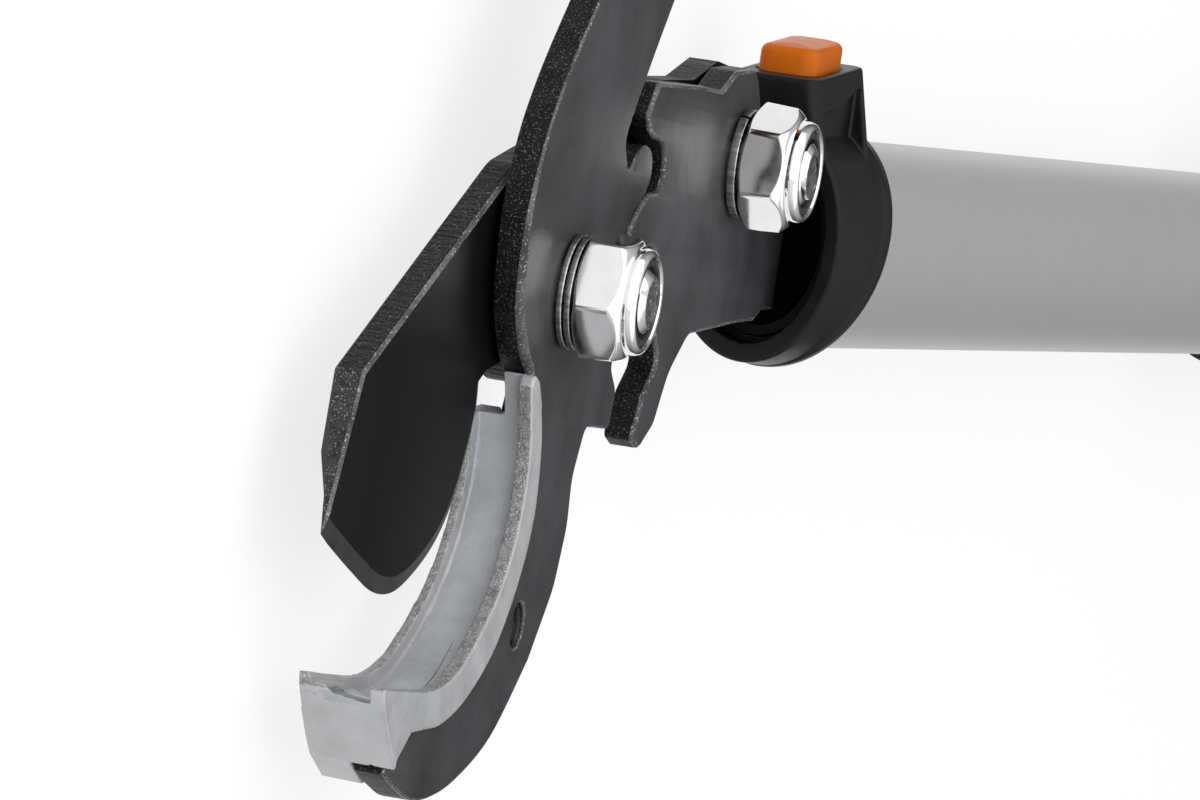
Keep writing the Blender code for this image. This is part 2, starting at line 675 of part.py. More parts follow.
def blade_rings():
    """The blade's rear face, its edge and its front face, as outlines of as many points each."""
    ridge = [point for point in ridge_path() if point[1] < mm([SEAT_ENDS])[0][1]]
    towards_heel = [min(1, max(0, (point[1] - HEEL_STARTS) / HEEL_LENGTH)) for point in ridge]
    lifted = offset_path(ridge, [HEEL_DROP * share for share in towards_heel])
    edge = turned_about(lifted, MAIN_PIVOT, -CLOSING_ANGLE)[::-1]
    rear_bevel = [REAR_BEVEL * (1 - HEEL_NARROWING * share) for share in towards_heel[::-1]]
    tip, (top_corner, spine_corner) = mm([BLADE_TIP])[0], mm(BLADE_SPINE)
    blunt_end = degrees(atan2(top_corner[1] - tip[1], top_corner[0] - tip[0]))
    spine_points = len(rounded(top_corner, spine_corner, mm(CARRIER_TOP)[0]))
    hub = arc(MAIN_PIVOT, BLADE_HUB_RADIUS, -80, -130)
    rest = outline(mm(BLADE_SPINE + CARRIER_TOP + CARRIER_END), hub, mm(BLADE_HEEL[::-1]))[:0:-1]
    before_spine = len(rest) - spine_points

    def ring(inset_of_edge, inset_of_tip, inset_of_spine):
        bevel = [place(tip, blunt_end, inset_of_tip, 0)] + offset_path(edge, inset_of_edge)
        body = rest[:before_spine] + offset_path(rest[before_spine:], inset_of_spine)
        return bevel + body + [place(top_corner, blunt_end, -inset_of_spine, 0)]

    rear_face, cutting_edge = ring(rear_bevel, TIP_TAPER * REAR_BEVEL, 0), ring(0, 0, 0)
    return rear_face, cutting_edge, ring(FRONT_BEVEL, FRONT_BEVEL, SPINE_CHAMFER)


def blade(parent):
    rear, edge, front = blade_rings()
    levels = ((rear, BLADE_REAR), (edge, BLADE_FRONT - EDGE_DEPTH), (front, BLADE_FRONT))
    rings = [[(*point, height) for point in points] for points, height in levels]
    body = loft("blade", rings, blade_coating(), parent)
    for name, centre in (("blade_pivot_hole", MAIN_PIVOT), ("blade_lever_hole", LEVER_PIVOT)):
        cut(body, round_bar(name, centre, BOLT_RADIUS + GAP, 3 * BLADE_REAR, 0))
    return body


def bolt(name, centre, nut_bottom, parent):
    """A hexagon bolt, its head at the rear and its end just past the nut."""
    low, high, end = -FACE_HEIGHT, BOLT_HEAD_TOP, nut_bottom + NUT_HEIGHT + BOLT_PAST_NUT
    head = hexagon(name, HEX_FLATS, low, high, BOLT_HEAD_TURN, zinc(), parent, centre)
    past_corner, past_face = HEX_FLATS / sqrt3() + GAP, low - GAP / 3
    corners_off = [(0, high + GAP), (past_corner, high + GAP), (past_corner, low + CORNER_CHAMFER),
                   (HEX_FLATS / 2 - GAP, past_face), (0, past_face)]
    crop = turned(name + "_head_chamfer", corners_off, centre=centre)
    inside = high - GAP
    outside = [(0, end), (BOLT_RADIUS - END_CHAMFER, end), (BOLT_RADIUS, end - END_CHAMFER),
               (BOLT_RADIUS, inside), (0, inside)]
    boolean(head, crop, "INTERSECT")
    return join(head, turned(name + "_shank", outside, centre=centre))


def nut(name, centre, low, turn, parent):
    """A lock nut: a hexagon with a round collar above it, which holds a nylon ring."""
    hex_top, high = low + NUT_HEX, low + NUT_HEIGHT
    past_corner, past_face, flat = HEX_FLATS / sqrt3() + GAP, low - GAP / 3, HEX_FLATS / 2 - GAP
    body = hexagon(name, HEX_FLATS, low, hex_top, turn, zinc(), parent, centre)
    corners_off = [(0, hex_top + GAP), (flat - GAP, hex_top + GAP), (past_corner, hex_top - END_CHAMFER),
                   (past_corner, low + CORNER_CHAMFER), (flat, past_face), (0, past_face)]
    crop = turned(name + "_chamfer", corners_off, centre=centre)
    rim, inside = NUT_COLLAR_RADIUS, hex_top - END_CHAMFER
    outside = [(0, high), (rim - 4 * GAP, high), (rim - GAP, high - 2 * GAP), (rim, high - 5 * GAP),
               (rim, inside), (0, inside)]
    collar_on_top = turned(name + "_collar", outside, centre=centre)
    bore, ring_bore, ring_floor = BOLT_RADIUS + GAP, NUT_RING_RADIUS + GAP, high - NUT_RING - GAP
    opening = [(0, high + GAP), (ring_bore, high + GAP), (ring_bore, ring_floor), (bore, ring_floor),
               (bore, low - GAP), (0, low - GAP)]
    boolean(body, crop, "INTERSECT")
    join(body, collar_on_top)
    return cut(body, turned(name + "_bore", opening, centre=centre))


def nut_ring(name, centre, nut_bottom, parent):
    low = nut_bottom + NUT_HEIGHT - NUT_RING
    high = low + NUT_RING - NUT_RING_SUNK
    return ring(name, BOLT_RADIUS + GAP, NUT_RING_RADIUS, low, high, nylon(), parent, centre=centre)


def spring_washer(name, centre, parent):
    """A spring washer: a flat ring, split on one side."""
    low, high = GAP, GAP + SPRING_WASHER
    body = ring(name, BOLT_RADIUS + GAP, FRONT_WASHER_RADIUS, low, high, zinc(), parent, centre=centre)
    inside, outside, half = BOLT_RADIUS / 2, 2 * FRONT_WASHER_RADIUS, WASHER_SPLIT / 2
    slit = [place(centre, WASHER_SPLIT_ANGLE, along, across)
            for along, across in ((inside, -half), (outside, -half), (outside, half), (inside, half))]
    return cut(body, prism(name + "_split", [slit], low - GAP, high + GAP))


def head_fasteners(arm, carrier):
    """What clamps the two joints of the head together."""
    bore = BOLT_RADIUS + GAP
    rear = (REAR_WASHER_TOP - REAR_WASHER, REAR_WASHER_TOP)
    bolt("pivot_bolt", MAIN_PIVOT, PIVOT_NUT_BOTTOM, arm)
    ring("pivot_rear_washer", bore, REAR_WASHER_RADIUS, *rear, zinc(), arm)
    ring("pivot_washer_1", bore, FRONT_WASHER_RADIUS, GAP, GAP + FRONT_WASHER, zinc(), arm)
    ring("pivot_washer_2", bore, FRONT_WASHER_RADIUS, WASHERS_TOP - FRONT_WASHER, WASHERS_TOP, zinc(), arm)
    nut("pivot_nut", MAIN_PIVOT, PIVOT_NUT_BOTTOM, PIVOT_NUT_TURN, arm)
    nut_ring("pivot_nut_ring", MAIN_PIVOT, PIVOT_NUT_BOTTOM, arm)
    disc = (BLADE_FRONT + FRICTION_CLEARANCE, ARM_REAR - FRICTION_CLEARANCE)
    ring("pivot_friction_disc", bore, FRICTION_RADIUS, *disc, bronze(), arm)
    bolt("lever_bolt", LEVER_PIVOT, LEVER_NUT_BOTTOM, carrier)
    ring("lever_rear_washer", bore, REAR_WASHER_RADIUS, *rear, zinc(), carrier, centre=LEVER_PIVOT)
    spring_washer("lever_spring_washer", LEVER_PIVOT, carrier)
    nut("lever_nut", LEVER_PIVOT, LEVER_NUT_BOTTOM, LEVER_NUT_TURN, carrier)
    nut_ring("lever_nut_ring", LEVER_PIVOT, LEVER_NUT_BOTTOM, carrier)
    ring("lever_friction_disc", bore, FRICTION_RADIUS, *disc, bronze(), carrier, centre=LEVER_PIVOT)


def rivet_bar(name, along):
    """A cutter for a rivet's hole, upright through a handle."""
    reach = OUTER_TUBE[1]
    return round_bar(name, (along, 0), RIVET_RADIUS + GAP, -reach, reach, facets=PIN_FACETS)


def cross_pin(name, along, high):
    """A cutter for the lock pin's hole, across a handle in the plane of the jaws."""
    return round_bar(name, (0, along), LOCK_PIN_RADIUS + GAP, LOCK_PIN_DEEPEST, high, axes=ACROSS_HANDLE,
                     facets=PIN_FACETS)


def along_handle(name, loops, low, high, surface=None, parent=None):
    return prism(name, loops, low, high, surface, parent, axes=ALONG_HANDLE)


def inner_tube(side, parent):
    """The tube fixed to the head, with its row of lock holes and its rivet holes."""
    body = along_handle("inner_tube_" + side, [oval(*INNER_TUBE), oval(*grown(INNER_TUBE, -TUBE_WALL))],
                        TUBE_RECESS, INNER_TUBE_LENGTH, dark_tube(), parent)
    for number, along in enumerate(RIVET_PLACES):
        cut(body, rivet_bar(f"rivet_hole_{side}_{number}", along))
    for number in range(LOCK_HOLES):
        along = BUTTON_PLACE + number * LOCK_HOLE_STEP
        cut(body, cross_pin(f"lock_hole_{side}_{number}", along, OUTER_TUBE[0]))
    return body


def tang_plug(side, parent):
    """The plastic block that holds the plate's tang inside the tube."""
    body = along_handle("tang_plug_" + side, [oval(*grown(INNER_TUBE, -TUBE_WALL - GAP))],
                        TUBE_RECESS + GAP, PLUG_LENGTH, black_plastic(), parent)
    across, upright = TANG_HALF + GAP, PLATE / 2 + GAP
    slot = [(-across, -upright), (across, -upright), (across, upright), (-across, upright)]
    cut(body, along_handle("tang_slot_" + side, [slot], -TUBE_RECESS, TANG_IN_TUBE + GAP))
    for number, along in enumerate(RIVET_PLACES):
        cut(body, rivet_bar(f"plug_hole_{side}_{number}", along))
    return body


def rivets(side, parent):
    half, edge = INNER_TUBE[1] - RIVET_SUNK, RIVET_SUNK
    for number, along in enumerate(RIVET_PLACES, 1):
        profile = [(0, half), (RIVET_RADIUS - edge, half), (RIVET_RADIUS, half - edge),
                   (RIVET_RADIUS, edge - half), (RIVET_RADIUS - edge, -half), (0, -half)]
        turned(f"tang_rivet_{side}{number}", profile, zinc(), parent, centre=(along, 0), facets=PIN_FACETS)


def inner_bushing(side, parent):
    """The plastic guide at the inner tube's far end: a spigot in the tube and a rim outside it."""
    end = INNER_TUBE_LENGTH + GAP
    rim_end = end + BUSHING_RIM
    body = along_handle("inner_bushing_" + side, [oval(*INNER_TUBE)], end, rim_end, black_plastic(), parent)
    spigot = oval(*grown(INNER_TUBE, -TUBE_WALL - GAP))
    join(body, along_handle("bushing_spigot_" + side, [spigot], end - BUSHING_DEPTH, end + BUSHING_RIM / 2))
    bore = oval(*grown(INNER_TUBE, -TUBE_WALL - GAP - BUSHING_WALL))
    return cut(body, along_handle("bushing_bore_" + side, [bore], end - 2 * BUSHING_DEPTH, 2 * rim_end))


def outer_tube(side, parent):
    body = along_handle("outer_tube_" + side, [oval(*OUTER_TUBE), oval(*grown(OUTER_TUBE, -TUBE_WALL))],
                        COLLAR_LIP + GAP, OUTER_TUBE_END, painted_tube(), parent)
    return cut(body, cross_pin("tube_pin_hole_" + side, BUTTON_PLACE, COLLAR_FRONT[0]))


def sloped(points, height):
    """Points given along and upright, put across the handle on the tower's sloping top."""
    return [(x, height + (x - TOWER_FRONT) * tan(radians(TOWER_SLOPE)), z) for x, z in points]


def lock_tower(side):
    """The housing of the button: wider at its base, sloping on top and hollow in both its sides."""
    half_x, half_z = TOWER_LENGTH / 2, TOWER_WIDTH / 2
    middle = (TOWER_FRONT + half_x, 0)
    foot = rectangle(middle, half_x, TOWER_BASE_WIDTH / 2, TOWER_CORNER)
    rings = [[(x, TOWER_BASE, z) for x, z in foot]]
    for below_top, inset in ((TOWER_EDGE, 0), (0, TOWER_EDGE)):
        shape = rectangle(middle, half_x - inset, half_z - inset, TOWER_CORNER - inset)
        rings.append(sloped(shape, TOWER_HEIGHT - below_top))
    tower = loft("lock_tower_" + side, rings[::-1])
    inside, outside = BUTTON_WIDTH / 2 + GAP + HOLLOW_WALL, TOWER_BASE_WIDTH
    cut(tower, prism("tower_hollow_left_" + side, [mm(TOWER_HOLLOW)], -outside, -inside))
    return cut(tower, prism("tower_hollow_right_" + side, [mm(TOWER_HOLLOW)], inside, outside))


def collar(side, parent):
    """The collar on the outer tube's front end, with a slanted rim behind and the lock tower on it."""
    rim_start = COLLAR_LENGTH - COLLAR_RIM_LENGTH
    before_rim = rim_start - COLLAR_STEP
    almost_rim = (COLLAR_FRONT[0] + GAP, (COLLAR_FRONT[1] + COLLAR_RIM[1]) / 2)
    stations = [(0, 0, grown(COLLAR_FRONT, -COLLAR_EDGE)), (COLLAR_EDGE, 0, COLLAR_FRONT),
                (before_rim, COLLAR_SLANT, almost_rim), (rim_start, COLLAR_SLANT, COLLAR_RIM),
                (COLLAR_LENGTH - COLLAR_EDGE, COLLAR_SLANT, COLLAR_RIM),
                (COLLAR_LENGTH, COLLAR_SLANT, grown(COLLAR_RIM, -COLLAR_EDGE))]
    rings = [[(along + slant * y, y, z) for y, z in oval(*size)] for along, slant, size in stations]
    body = loft("collar_" + side, rings, black_plastic(), parent)
    join(body, lock_tower(side))
    tube_bore = oval(*grown(OUTER_TUBE, GAP))
    bore = along_handle("collar_bore_" + side, [tube_bore], COLLAR_LIP, 2 * COLLAR_LENGTH)
    mouth = along_handle("collar_mouth_" + side, [oval(*COLLAR_MOUTH)], 2 * TOWER_FRONT, 2 * COLLAR_LIP)
    well = rectangle((BUTTON_PLACE, 0), BUTTON_LENGTH / 2 + GAP, BUTTON_WIDTH / 2 + GAP, BUTTON_CORNER + GAP)
    levels = (2 * TOWER_HEIGHT, WELL_FLOOR)
    pocket = loft("button_well_" + side, [[(x, height, z) for x, z in well] for height in levels])
    pin_hole = cross_pin("collar_pin_hole_" + side, BUTTON_PLACE, TOWER_HEIGHT)
    return cut(body, bore, mouth, pocket, pin_hole)


def lock_pin(side, parent):
    """The pin that drops into the inner tube's holes, under its flange in the button's well."""
    tip = INNER_TUBE[0] + GAP
    floor = WELL_FLOOR + GAP
    top = floor + LOCK_FLANGE_THICKNESS
    profile = [(0, top), (LOCK_PIN_FLANGE, top),
               (LOCK_PIN_FLANGE, floor), (LOCK_PIN_RADIUS, floor), (LOCK_PIN_RADIUS, tip + 2 * GAP),
               (LOCK_PIN_RADIUS - 2 * GAP, tip), (0, tip)]
    return turned("lock_pin_" + side, profile, zinc(), parent, axes=ACROSS_HANDLE, centre=(0, BUTTON_PLACE),
                  facets=PIN_FACETS)


def button(side, parent):
    """The push button, a little proud of the tower and crowned along its length."""
    foot, edge = 2 * GAP, BUTTON_EDGE
    levels = [(0, foot), (foot, 0), (BUTTON_HEIGHT - edge, 0), (BUTTON_HEIGHT - edge / 3, edge / 3),
              (BUTTON_HEIGHT, edge)]
    half_x, half_z = BUTTON_LENGTH / 2, BUTTON_WIDTH / 2
    rings = []
    for height, inset in levels:
        shape = rectangle((BUTTON_PLACE, 0), half_x - inset, half_z - inset, BUTTON_CORNER - inset)
        rings.append(sloped(shape, BUTTON_UNDER + height))
    about_button = Matrix.Translation((-BUTTON_PLACE, 0, 0))
    return loft("button_" + side, rings[::-1], orange_plastic(), parent, about_button)


def oval_rings(start, stations):
    """Ovals across a handle, for stations of (along, across, upright)."""
    return [[(start + along, y, z) for y, z in oval(across, upright)] for along, across, upright in stations]


def grip(side, parent):
    """The soft sleeve: it swells under the palm and flares at the end."""
    stations = GRIP_SHAPE + [(along, across, GRIP_HALF) for along, across in GRIP_SWELLS]
    body = loft("grip_" + side, oval_rings(GRIP_START, stations), soft_rubber(), parent)
    bore = oval(*grown(OUTER_TUBE, GAP))
    return cut(body, along_handle("grip_bore_" + side, [bore], 0, 2 * OUTER_TUBE_END))


def end_cap(side, parent):
    """The plug that closes the outer tube and the grip's end."""
    start = OUTER_TUBE_END + GAP
    widest = GRIP_SWELLS[-1][1]
    stations = [(0, widest, GRIP_HALF), (CAP_SIDE, widest - GAP, GRIP_HALF)] + CAP_SHAPE
    body = loft("end_cap_" + side, oval_rings(start, stations), black_plastic(), parent)
    spigot = oval(*grown(OUTER_TUBE, -TUBE_WALL - GAP))
    return join(body, along_handle("cap_spigot_" + side, [spigot], start - CAP_DEPTH, start + CAP_SIDE / 2))


def handle(side, fixed, sliding, pressed):
    """One telescoping handle: what stays on the head, what slides and what is pressed."""
    inner_tube(side, fixed)
    tang_plug(side, fixed)
    rivets(side, fixed)
    inner_bushing(side, fixed)
    outer_tube(side, sliding)
    collar(side, sliding)
    lock_pin(side, sliding)
    grip(side, sliding)
    end_cap(side, sliding)
    button(side, pressed)


def build():
    clear_scene()
    head = empty("head", (0, 0, FACE_HEIGHT))
    blade_axis = empty("blade_pivot_axis", (*MAIN_PIVOT, 0), parent=head)
    lever_axis = empty("lever_pivot_axis", (*LEVER_PIVOT, 0), parent=blade_axis)
    anvil_arm(head)
    anvil(head)
    anvil_screw(head)
    blade(blade_axis)
    lever(lever_axis)
    head_fasteners(head, blade_axis)
    arm_line = empty("arm_handle_line", (*ARM_COLLAR, HANDLE_HEIGHT), ARM_HANDLE_ANGLE, head, flip=True)
    from_pivot = (LEVER_COLLAR[0] - LEVER_PIVOT[0], LEVER_COLLAR[1] - LEVER_PIVOT[1], HANDLE_HEIGHT)
    lever_line = empty("lever_handle_line", from_pivot, LEVER_HANDLE_ANGLE, lever_axis)
    for side, line in (("a", arm_line), ("b", lever_line)):
        sliding = empty("slide_line_" + side, (0, 0, 0), parent=line)
        pressed = empty("button_line_" + side, (BUTTON_PLACE, 0, 0), parent=sliding)
        handle(side, line, sliding, pressed)


if __name__ == "__main__":
    build()
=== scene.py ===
"""The looks of a long-handled anvil lopper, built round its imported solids.

Lengths are metres. The head's outlines are drawn in its own plane, with height 0 at the plates' front face.
"""
import json

import bmesh
import bpy
from math import atan2, ceil, cos, degrees, hypot, pi, radians, sin, tan
from mathutils import Matrix, Vector
from mathutils.geometry import tessellate_polygon


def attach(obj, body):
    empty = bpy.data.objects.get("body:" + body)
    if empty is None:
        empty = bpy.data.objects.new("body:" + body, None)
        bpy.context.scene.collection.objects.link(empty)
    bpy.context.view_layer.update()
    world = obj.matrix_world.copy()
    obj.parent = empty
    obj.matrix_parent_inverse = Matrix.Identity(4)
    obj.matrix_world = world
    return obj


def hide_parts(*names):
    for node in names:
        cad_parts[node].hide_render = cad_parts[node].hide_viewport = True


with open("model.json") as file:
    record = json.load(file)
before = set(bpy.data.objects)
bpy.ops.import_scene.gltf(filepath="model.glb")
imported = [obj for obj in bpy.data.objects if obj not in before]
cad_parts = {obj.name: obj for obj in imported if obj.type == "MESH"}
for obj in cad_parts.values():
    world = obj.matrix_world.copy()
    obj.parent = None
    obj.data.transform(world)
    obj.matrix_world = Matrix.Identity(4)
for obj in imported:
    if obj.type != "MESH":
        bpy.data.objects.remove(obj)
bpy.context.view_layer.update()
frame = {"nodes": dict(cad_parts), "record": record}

# Sizes and places, in metres and degrees
MM = 0.001
GAP = 0.0003
PLATE = 0.0044
FACE_HEIGHT = 0.018
HEAD_PLANE = Matrix.Translation((0, 0, FACE_HEIGHT))
HANDLE_Z = FACE_HEIGHT - PLATE / 2
BLADE_FRONT = -0.0053
BLADE_REAR = BLADE_FRONT - PLATE
PIVOT = (0.0, 0.0)
LEVER_PIVOT = (0.0828085, 0.0234324)
ARM_COLLAR, ARM_ANGLE = (0.0588915, 0.0967879), 50.0
LEVER_COLLAR, LEVER_ANGLE = (0.1089, 0.0131), 2.4
TROUGH_DEPTH, ANVIL_FLOOR = 0.0023, 0.0022
ANVIL_REAR, ANVIL_FRONT, NEAR_WALL_INSIDE, FAR_WALL = -0.0072, 0.0018, -0.0003, 0.0014
ANVIL_SCREW = (0.0, -0.0477)
SEAT_LEFT, SEAT_TOP = -0.0560, -0.0185
NUT_HEX, NUT_HEIGHT = 0.0067, 0.0090
PIVOT_NUT_LOW, LEVER_NUT_LOW = 0.0027, 0.0021
TANG_LENGTH, TANG_HALF = 0.055, 0.0105
PIVOT_HOLE, SCREW_HOLE, WASHER_RADIUS = 0.0053, 0.0033, 0.0082
ACROSS_FLATS = 0.017
ANVIL_RISE = 0.0007
TOOTH_PITCH = 29.0
POCKET_PITCH = TOOTH_PITCH * 2 / 3
HANDLE_END, GRIP_START, GRIP_UPRIGHT = 0.500, 0.345, 0.01575
BUTTON_MIDDLE = 0.0106

# The faces of a plate, of the blade and of the anvil, by the surface that they have
FLAT, SIDE, ROUNDED = range(3)
COATED, BEVEL, SPINE_SIDE, CUT_END, CHAMFER = range(5)
AS_CAST, RIM_FACE, CHANNEL_FACE, NOTCH_SHADE_FACE = range(4)

# Outlines in millimetres; a third number is a corner's radius
ANVIL_RIDGE = [(-18.4, -14.8), (-16.3, -18.4), (-14.2, -22.6), (-13.1, -28.8), (-14.3, -36.2),
               (-18.0, -42.8), (-24.5, -49.0), (-33.0, -54.5), (-43.0, -57.2), (-55.0, -57.6),
               (-68.5, -57.5)]
ANVIL_FLANGE = [(-51.6, -63.3), (-45.0, -62.8), (-37.0, -61.9), (-26.6, -58.2), (-16.0, -51.0),
                (-8.7, -40.5), (-6.4, -31.2), (-8.5, -21.9), (-11.6, -16.9)]
ANVIL_NOSE = [(-68.5, -57.5), (-67.4, -59.6), (-64.4, -62.5), (-60.6, -65.8), (-56.7, -68.7)]
ANVIL_TOP = [(-11.0, -16.9), (-14.6, -13.2, 1.0), (-17.6, -12.3, 1.2)]
ANVIL_TOP_CUT = [(-40.0, -21.0), (-17.5, -21.0), (-13.4, -18.6), (-9.0, -17.6), (0.0, -17.4),
                 (0.0, 0.0), (-40.0, 0.0)]
ANVIL_TRIM = [(-8.0, -8.0), (40.0, -8.0), (40.0, -90.0), (-56.7, -90.0), (-56.7, -67.2)]
TROUGH_ENDS = [(-24.0, -6.0), (-90.0, -59.8), (-90.0, 0.0)]
ANVIL_REAR_SIDE = [(-49.0, -71.6), (-35.0, -69.0), (-20.0, -63.0), (-8.0, -56.5), (-4.0, -53.5),
                   (0.0, -54.2), (6.0, -50.6), (6.0, -44.6), (0.0, -41.2), (-3.0, -38.0),
                   (-3.2, -31.0), (-5.5, -23.0), (-9.0, -17.6)]
ARM_FACE = [(-14.2, 34.2), (-19.2, 28.2), (-23.8, 20.8), (-26.2, 12.0), (-25.8, 4.0), (-23.0, -4.2),
            (-17.5, -9.8), (-13.2, -12.3), (-9.8, -15.6)]
ARM_BACK = [(8.6, -52.6), (-5.0, -63.8), (-20.0, -70.0), (-32.0, -72.5), (-41.0, -72.8), (-48.7, -71.4),
            (-53.3, -70.2)]
ARM_TIP = [(-56.2, -69.3, 0.8), (-56.9, -62.3, 1.0)]
ARM_SHOULDER = [(26.0, 36.2), (20.0, 27.7), (17.6, 23.6), (17.7, 21.8)]
TOOTH = [(20.6, 18.8), (22.6, 19.0), (25.2, 21.4), (28.8, 22.6), (32.4, 21.8), (34.0, 19.0),
         (32.4, 15.9), (28.2, 13.4), (25.8, 11.0)]
ARM_STOP = [(28.7, -6.0, 2.0), (28.9, -9.8, 1.0), (33.3, -12.8, 2.0), (32.6, -18.5, 1.8),
            (20.0, -18.6, 2.5), (17.0, -26.0, 6.0), (18.4, -33.0, 8.0), (16.4, -42.0, 10.0)]
LEVER_TOP = [(31.2, 31.9, 2.0), (56.0, 33.1, 8.0), (67.3, 33.2, 4.0), (74.0, 36.6, 5.0), (85.6, 37.8, 6.0)]
LEVER_LOBE = [(27.5, 26.8, 0.8)]
POCKET = [(29.8, 24.8), (33.0, 23.9), (37.6, 23.5), (40.2, 21.8), (40.9, 18.8), (39.2, 16.6),
          (34.6, 15.8), (30.4, 13.2), (26.6, 9.7)]
LEVER_HOOK = [(47.0, -1.0, 6.0), (54.6, -8.0, 2.0), (49.2, -12.6, 3.0), (48.0, -16.0, 3.0),
              (46.0, -19.4, 1.0), (51.0, -20.8, 2.5), (57.3, -17.0, 4.0), (61.4, -9.2, 10.0),
              (69.4, -3.0, 7.0)]
LEVER_UNDER_TANG = [(-12.0, -12.5, 8.0), (-3.0, -12.2, 3.0)]
LEVER_OVER_TANG = [(-3.0, 12.8, 4.0), (-12.0, 13.5, 4.0)]
BLADE_SPINE = [(-76.6, -15.4), (-19.0, 16.0, 12.0)]
BLADE_TIP = (-84.2, -38.0)
BLADE_HEEL = [(-18.0, -12.9), (-14.6, -12.1)]
CARRIER_TOP = [(52.0, 33.0, 12.0), (69.4, 34.2, 8.0), (81.5, 37.9, 2.0)]
CARRIER_END = [(96.5, 37.4, 8.0), (96.5, 9.0, 9.0), (74.0, 7.0, 20.0), (16.0, -14.0, 12.0)]
TOWER_HOLLOW = [(-1.4, 12.0), (22.7, 12.0), (22.7, 24.7), (18.6, 24.0), (10.0, 21.2), (-1.4, 20.1)]


# Outlines

def place(origin, angle, along, across):
    """A place given along and across a direction, whose angle is in degrees."""
    c, s = cos(radians(angle)), sin(radians(angle))
    return (origin[0] + along * c - across * s, origin[1] + along * s + across * c)


def mm(corners):
    return [tuple(value * MM for value in corner) for corner in corners]


def smooth(points, steps=8):
    """A smooth curve through all the points."""
    ends = [points[0]] + list(points) + [points[-1]]
    found = []
    for before, start, end, after in zip(ends, ends[1:], ends[2:], ends[3:]):
        for step in range(steps):
            t = step / steps
            found.append(tuple(
                q + ((r - p) + (2 * p - 5 * q + 4 * r - s) * t + (3 * q - 3 * r + s - p) * t ** 2) * t / 2
                for p, q, r, s in zip(before, start, end, after)))
    return found + [points[-1]]


def arc(centre, radius, start, end, step=8.0):
    count = max(3, ceil(abs(end - start) / step))
    return [place(centre, start + (end - start) * i / count, radius, 0) for i in range(count + 1)]


def rounded(before, corner, after):
    """A corner as an arc of its own radius, or as one point where it has none."""
    x, y, radius = corner
    if not radius:
        return [(x, y)]
    to_before = atan2(before[1] - y, before[0] - x)
    to_after = atan2(after[1] - y, after[0] - x)
    between = (to_after - to_before + pi) % (2 * pi) - pi
    middle = degrees(to_before + between / 2)
    centre = place((x, y), middle, radius / abs(sin(between / 2)), 0)
    turn = degrees(pi - abs(between)) / 2
    ends = (turn, -turn) if between > 0 else (-turn, turn)
    return arc(centre, radius, middle + 180 + ends[0], middle + 180 + ends[1])


def outline(*stretches):
    """A closed outline of several stretches, its corners rounded."""
    corners = [tuple(c) + (0,) * (3 - len(c)) for stretch in stretches for c in stretch]
    points = []
    for before, corner, after in zip(corners[-1:] + corners[:-1], corners, corners[1:] + corners[:1]):
        points += rounded(before, corner, after)
    return points


def share_between(value, start, end):
    """How far a value is from a start to an end, from 0 to 1."""
    return min(1.0, max(0.0, (value - start) / (end - start)))


def circle(centre, radius):
    facets = 64
    return arc(centre, radius, 0, 360, 360 / facets)[:-1]


def turned_about(points, centre, angle):
    return [place(centre, angle, x - centre[0], y - centre[1]) for x, y in points]


def offset_path(points, distances):
    """A path moved to its left by one distance, or by one for each point."""
    if not isinstance(distances, list):
        distances = [distances] * len(points)
    found = []
    for i, distance in enumerate(distances):
        before, after = points[max(i - 1, 0)], points[min(i + 1, len(points) - 1)]
        dx, dy = after[0] - before[0], after[1] - before[1]
        length = hypot(dx, dy)
        found.append((points[i][0] - dy / length * distance, points[i][1] + dx / length * distance))
    return found


def oriented(points, left_turning):
    """The outline, reversed if it doesn't turn the way that is asked for."""
    area = sum(a[0] * b[1] - b[0] * a[1] for a, b in zip(points, points[1:] + points[:1]))
    return points if (area > 0) == left_turning else points[::-1]


def spread(points):
    """The outline with points added on its long straights."""
    found, step = [], 0.0012
    for a, b in zip(points, points[1:] + points[:1]):
        count = max(1, int(hypot(b[0] - a[0], b[1] - a[1]) / step))
        found += [(a[0] + (b[0] - a[0]) * i / count, a[1] + (b[1] - a[1]) * i / count) for i in range(count)]
    return found


def outwards(points):
    """At each point of a left-turning outline, the direction out of it, longer at a corner."""
    found = []
    for before, point, after in zip(points[-1:] + points[:-1], points, points[1:] + points[:1]):
        a = Vector((point[0] - before[0], point[1] - before[1])).normalized()
        b = Vector((after[0] - point[0], after[1] - point[1])).normalized()
        along = (a + b).normalized()
        reach = 1 / max(0.5, along.dot(a))
        found.append((along.y * reach, -along.x * reach))
    return found


def grown(points, by):
    """An outline made larger on all sides."""
    points = oriented(points, True)
    return [(x + nx * by, y + ny * by) for (x, y), (nx, ny) in zip(points, outwards(points))]


def ridge_path(steps=10):
    """The top of the anvil's near wall, which the blade's edge follows."""
    return smooth(mm(ANVIL_RIDGE), steps)


def floor_path(depth):
    return offset_path(ridge_path(), depth)


def on_handle(origin, angle, corners):
    return [place(origin, angle, *corner[:2]) + tuple(corner[2:]) for corner in corners]


def tang(origin, angle, neck, neck_radius):
    """The two sides of a tang inside its handle, from its end to the neck and back."""
    over = [(TANG_LENGTH, TANG_HALF), (neck, TANG_HALF, neck_radius)]
    under = [(neck, -TANG_HALF, neck_radius), (TANG_LENGTH, -TANG_HALF)]
    return on_handle(origin, angle, over), on_handle(origin, angle, under)


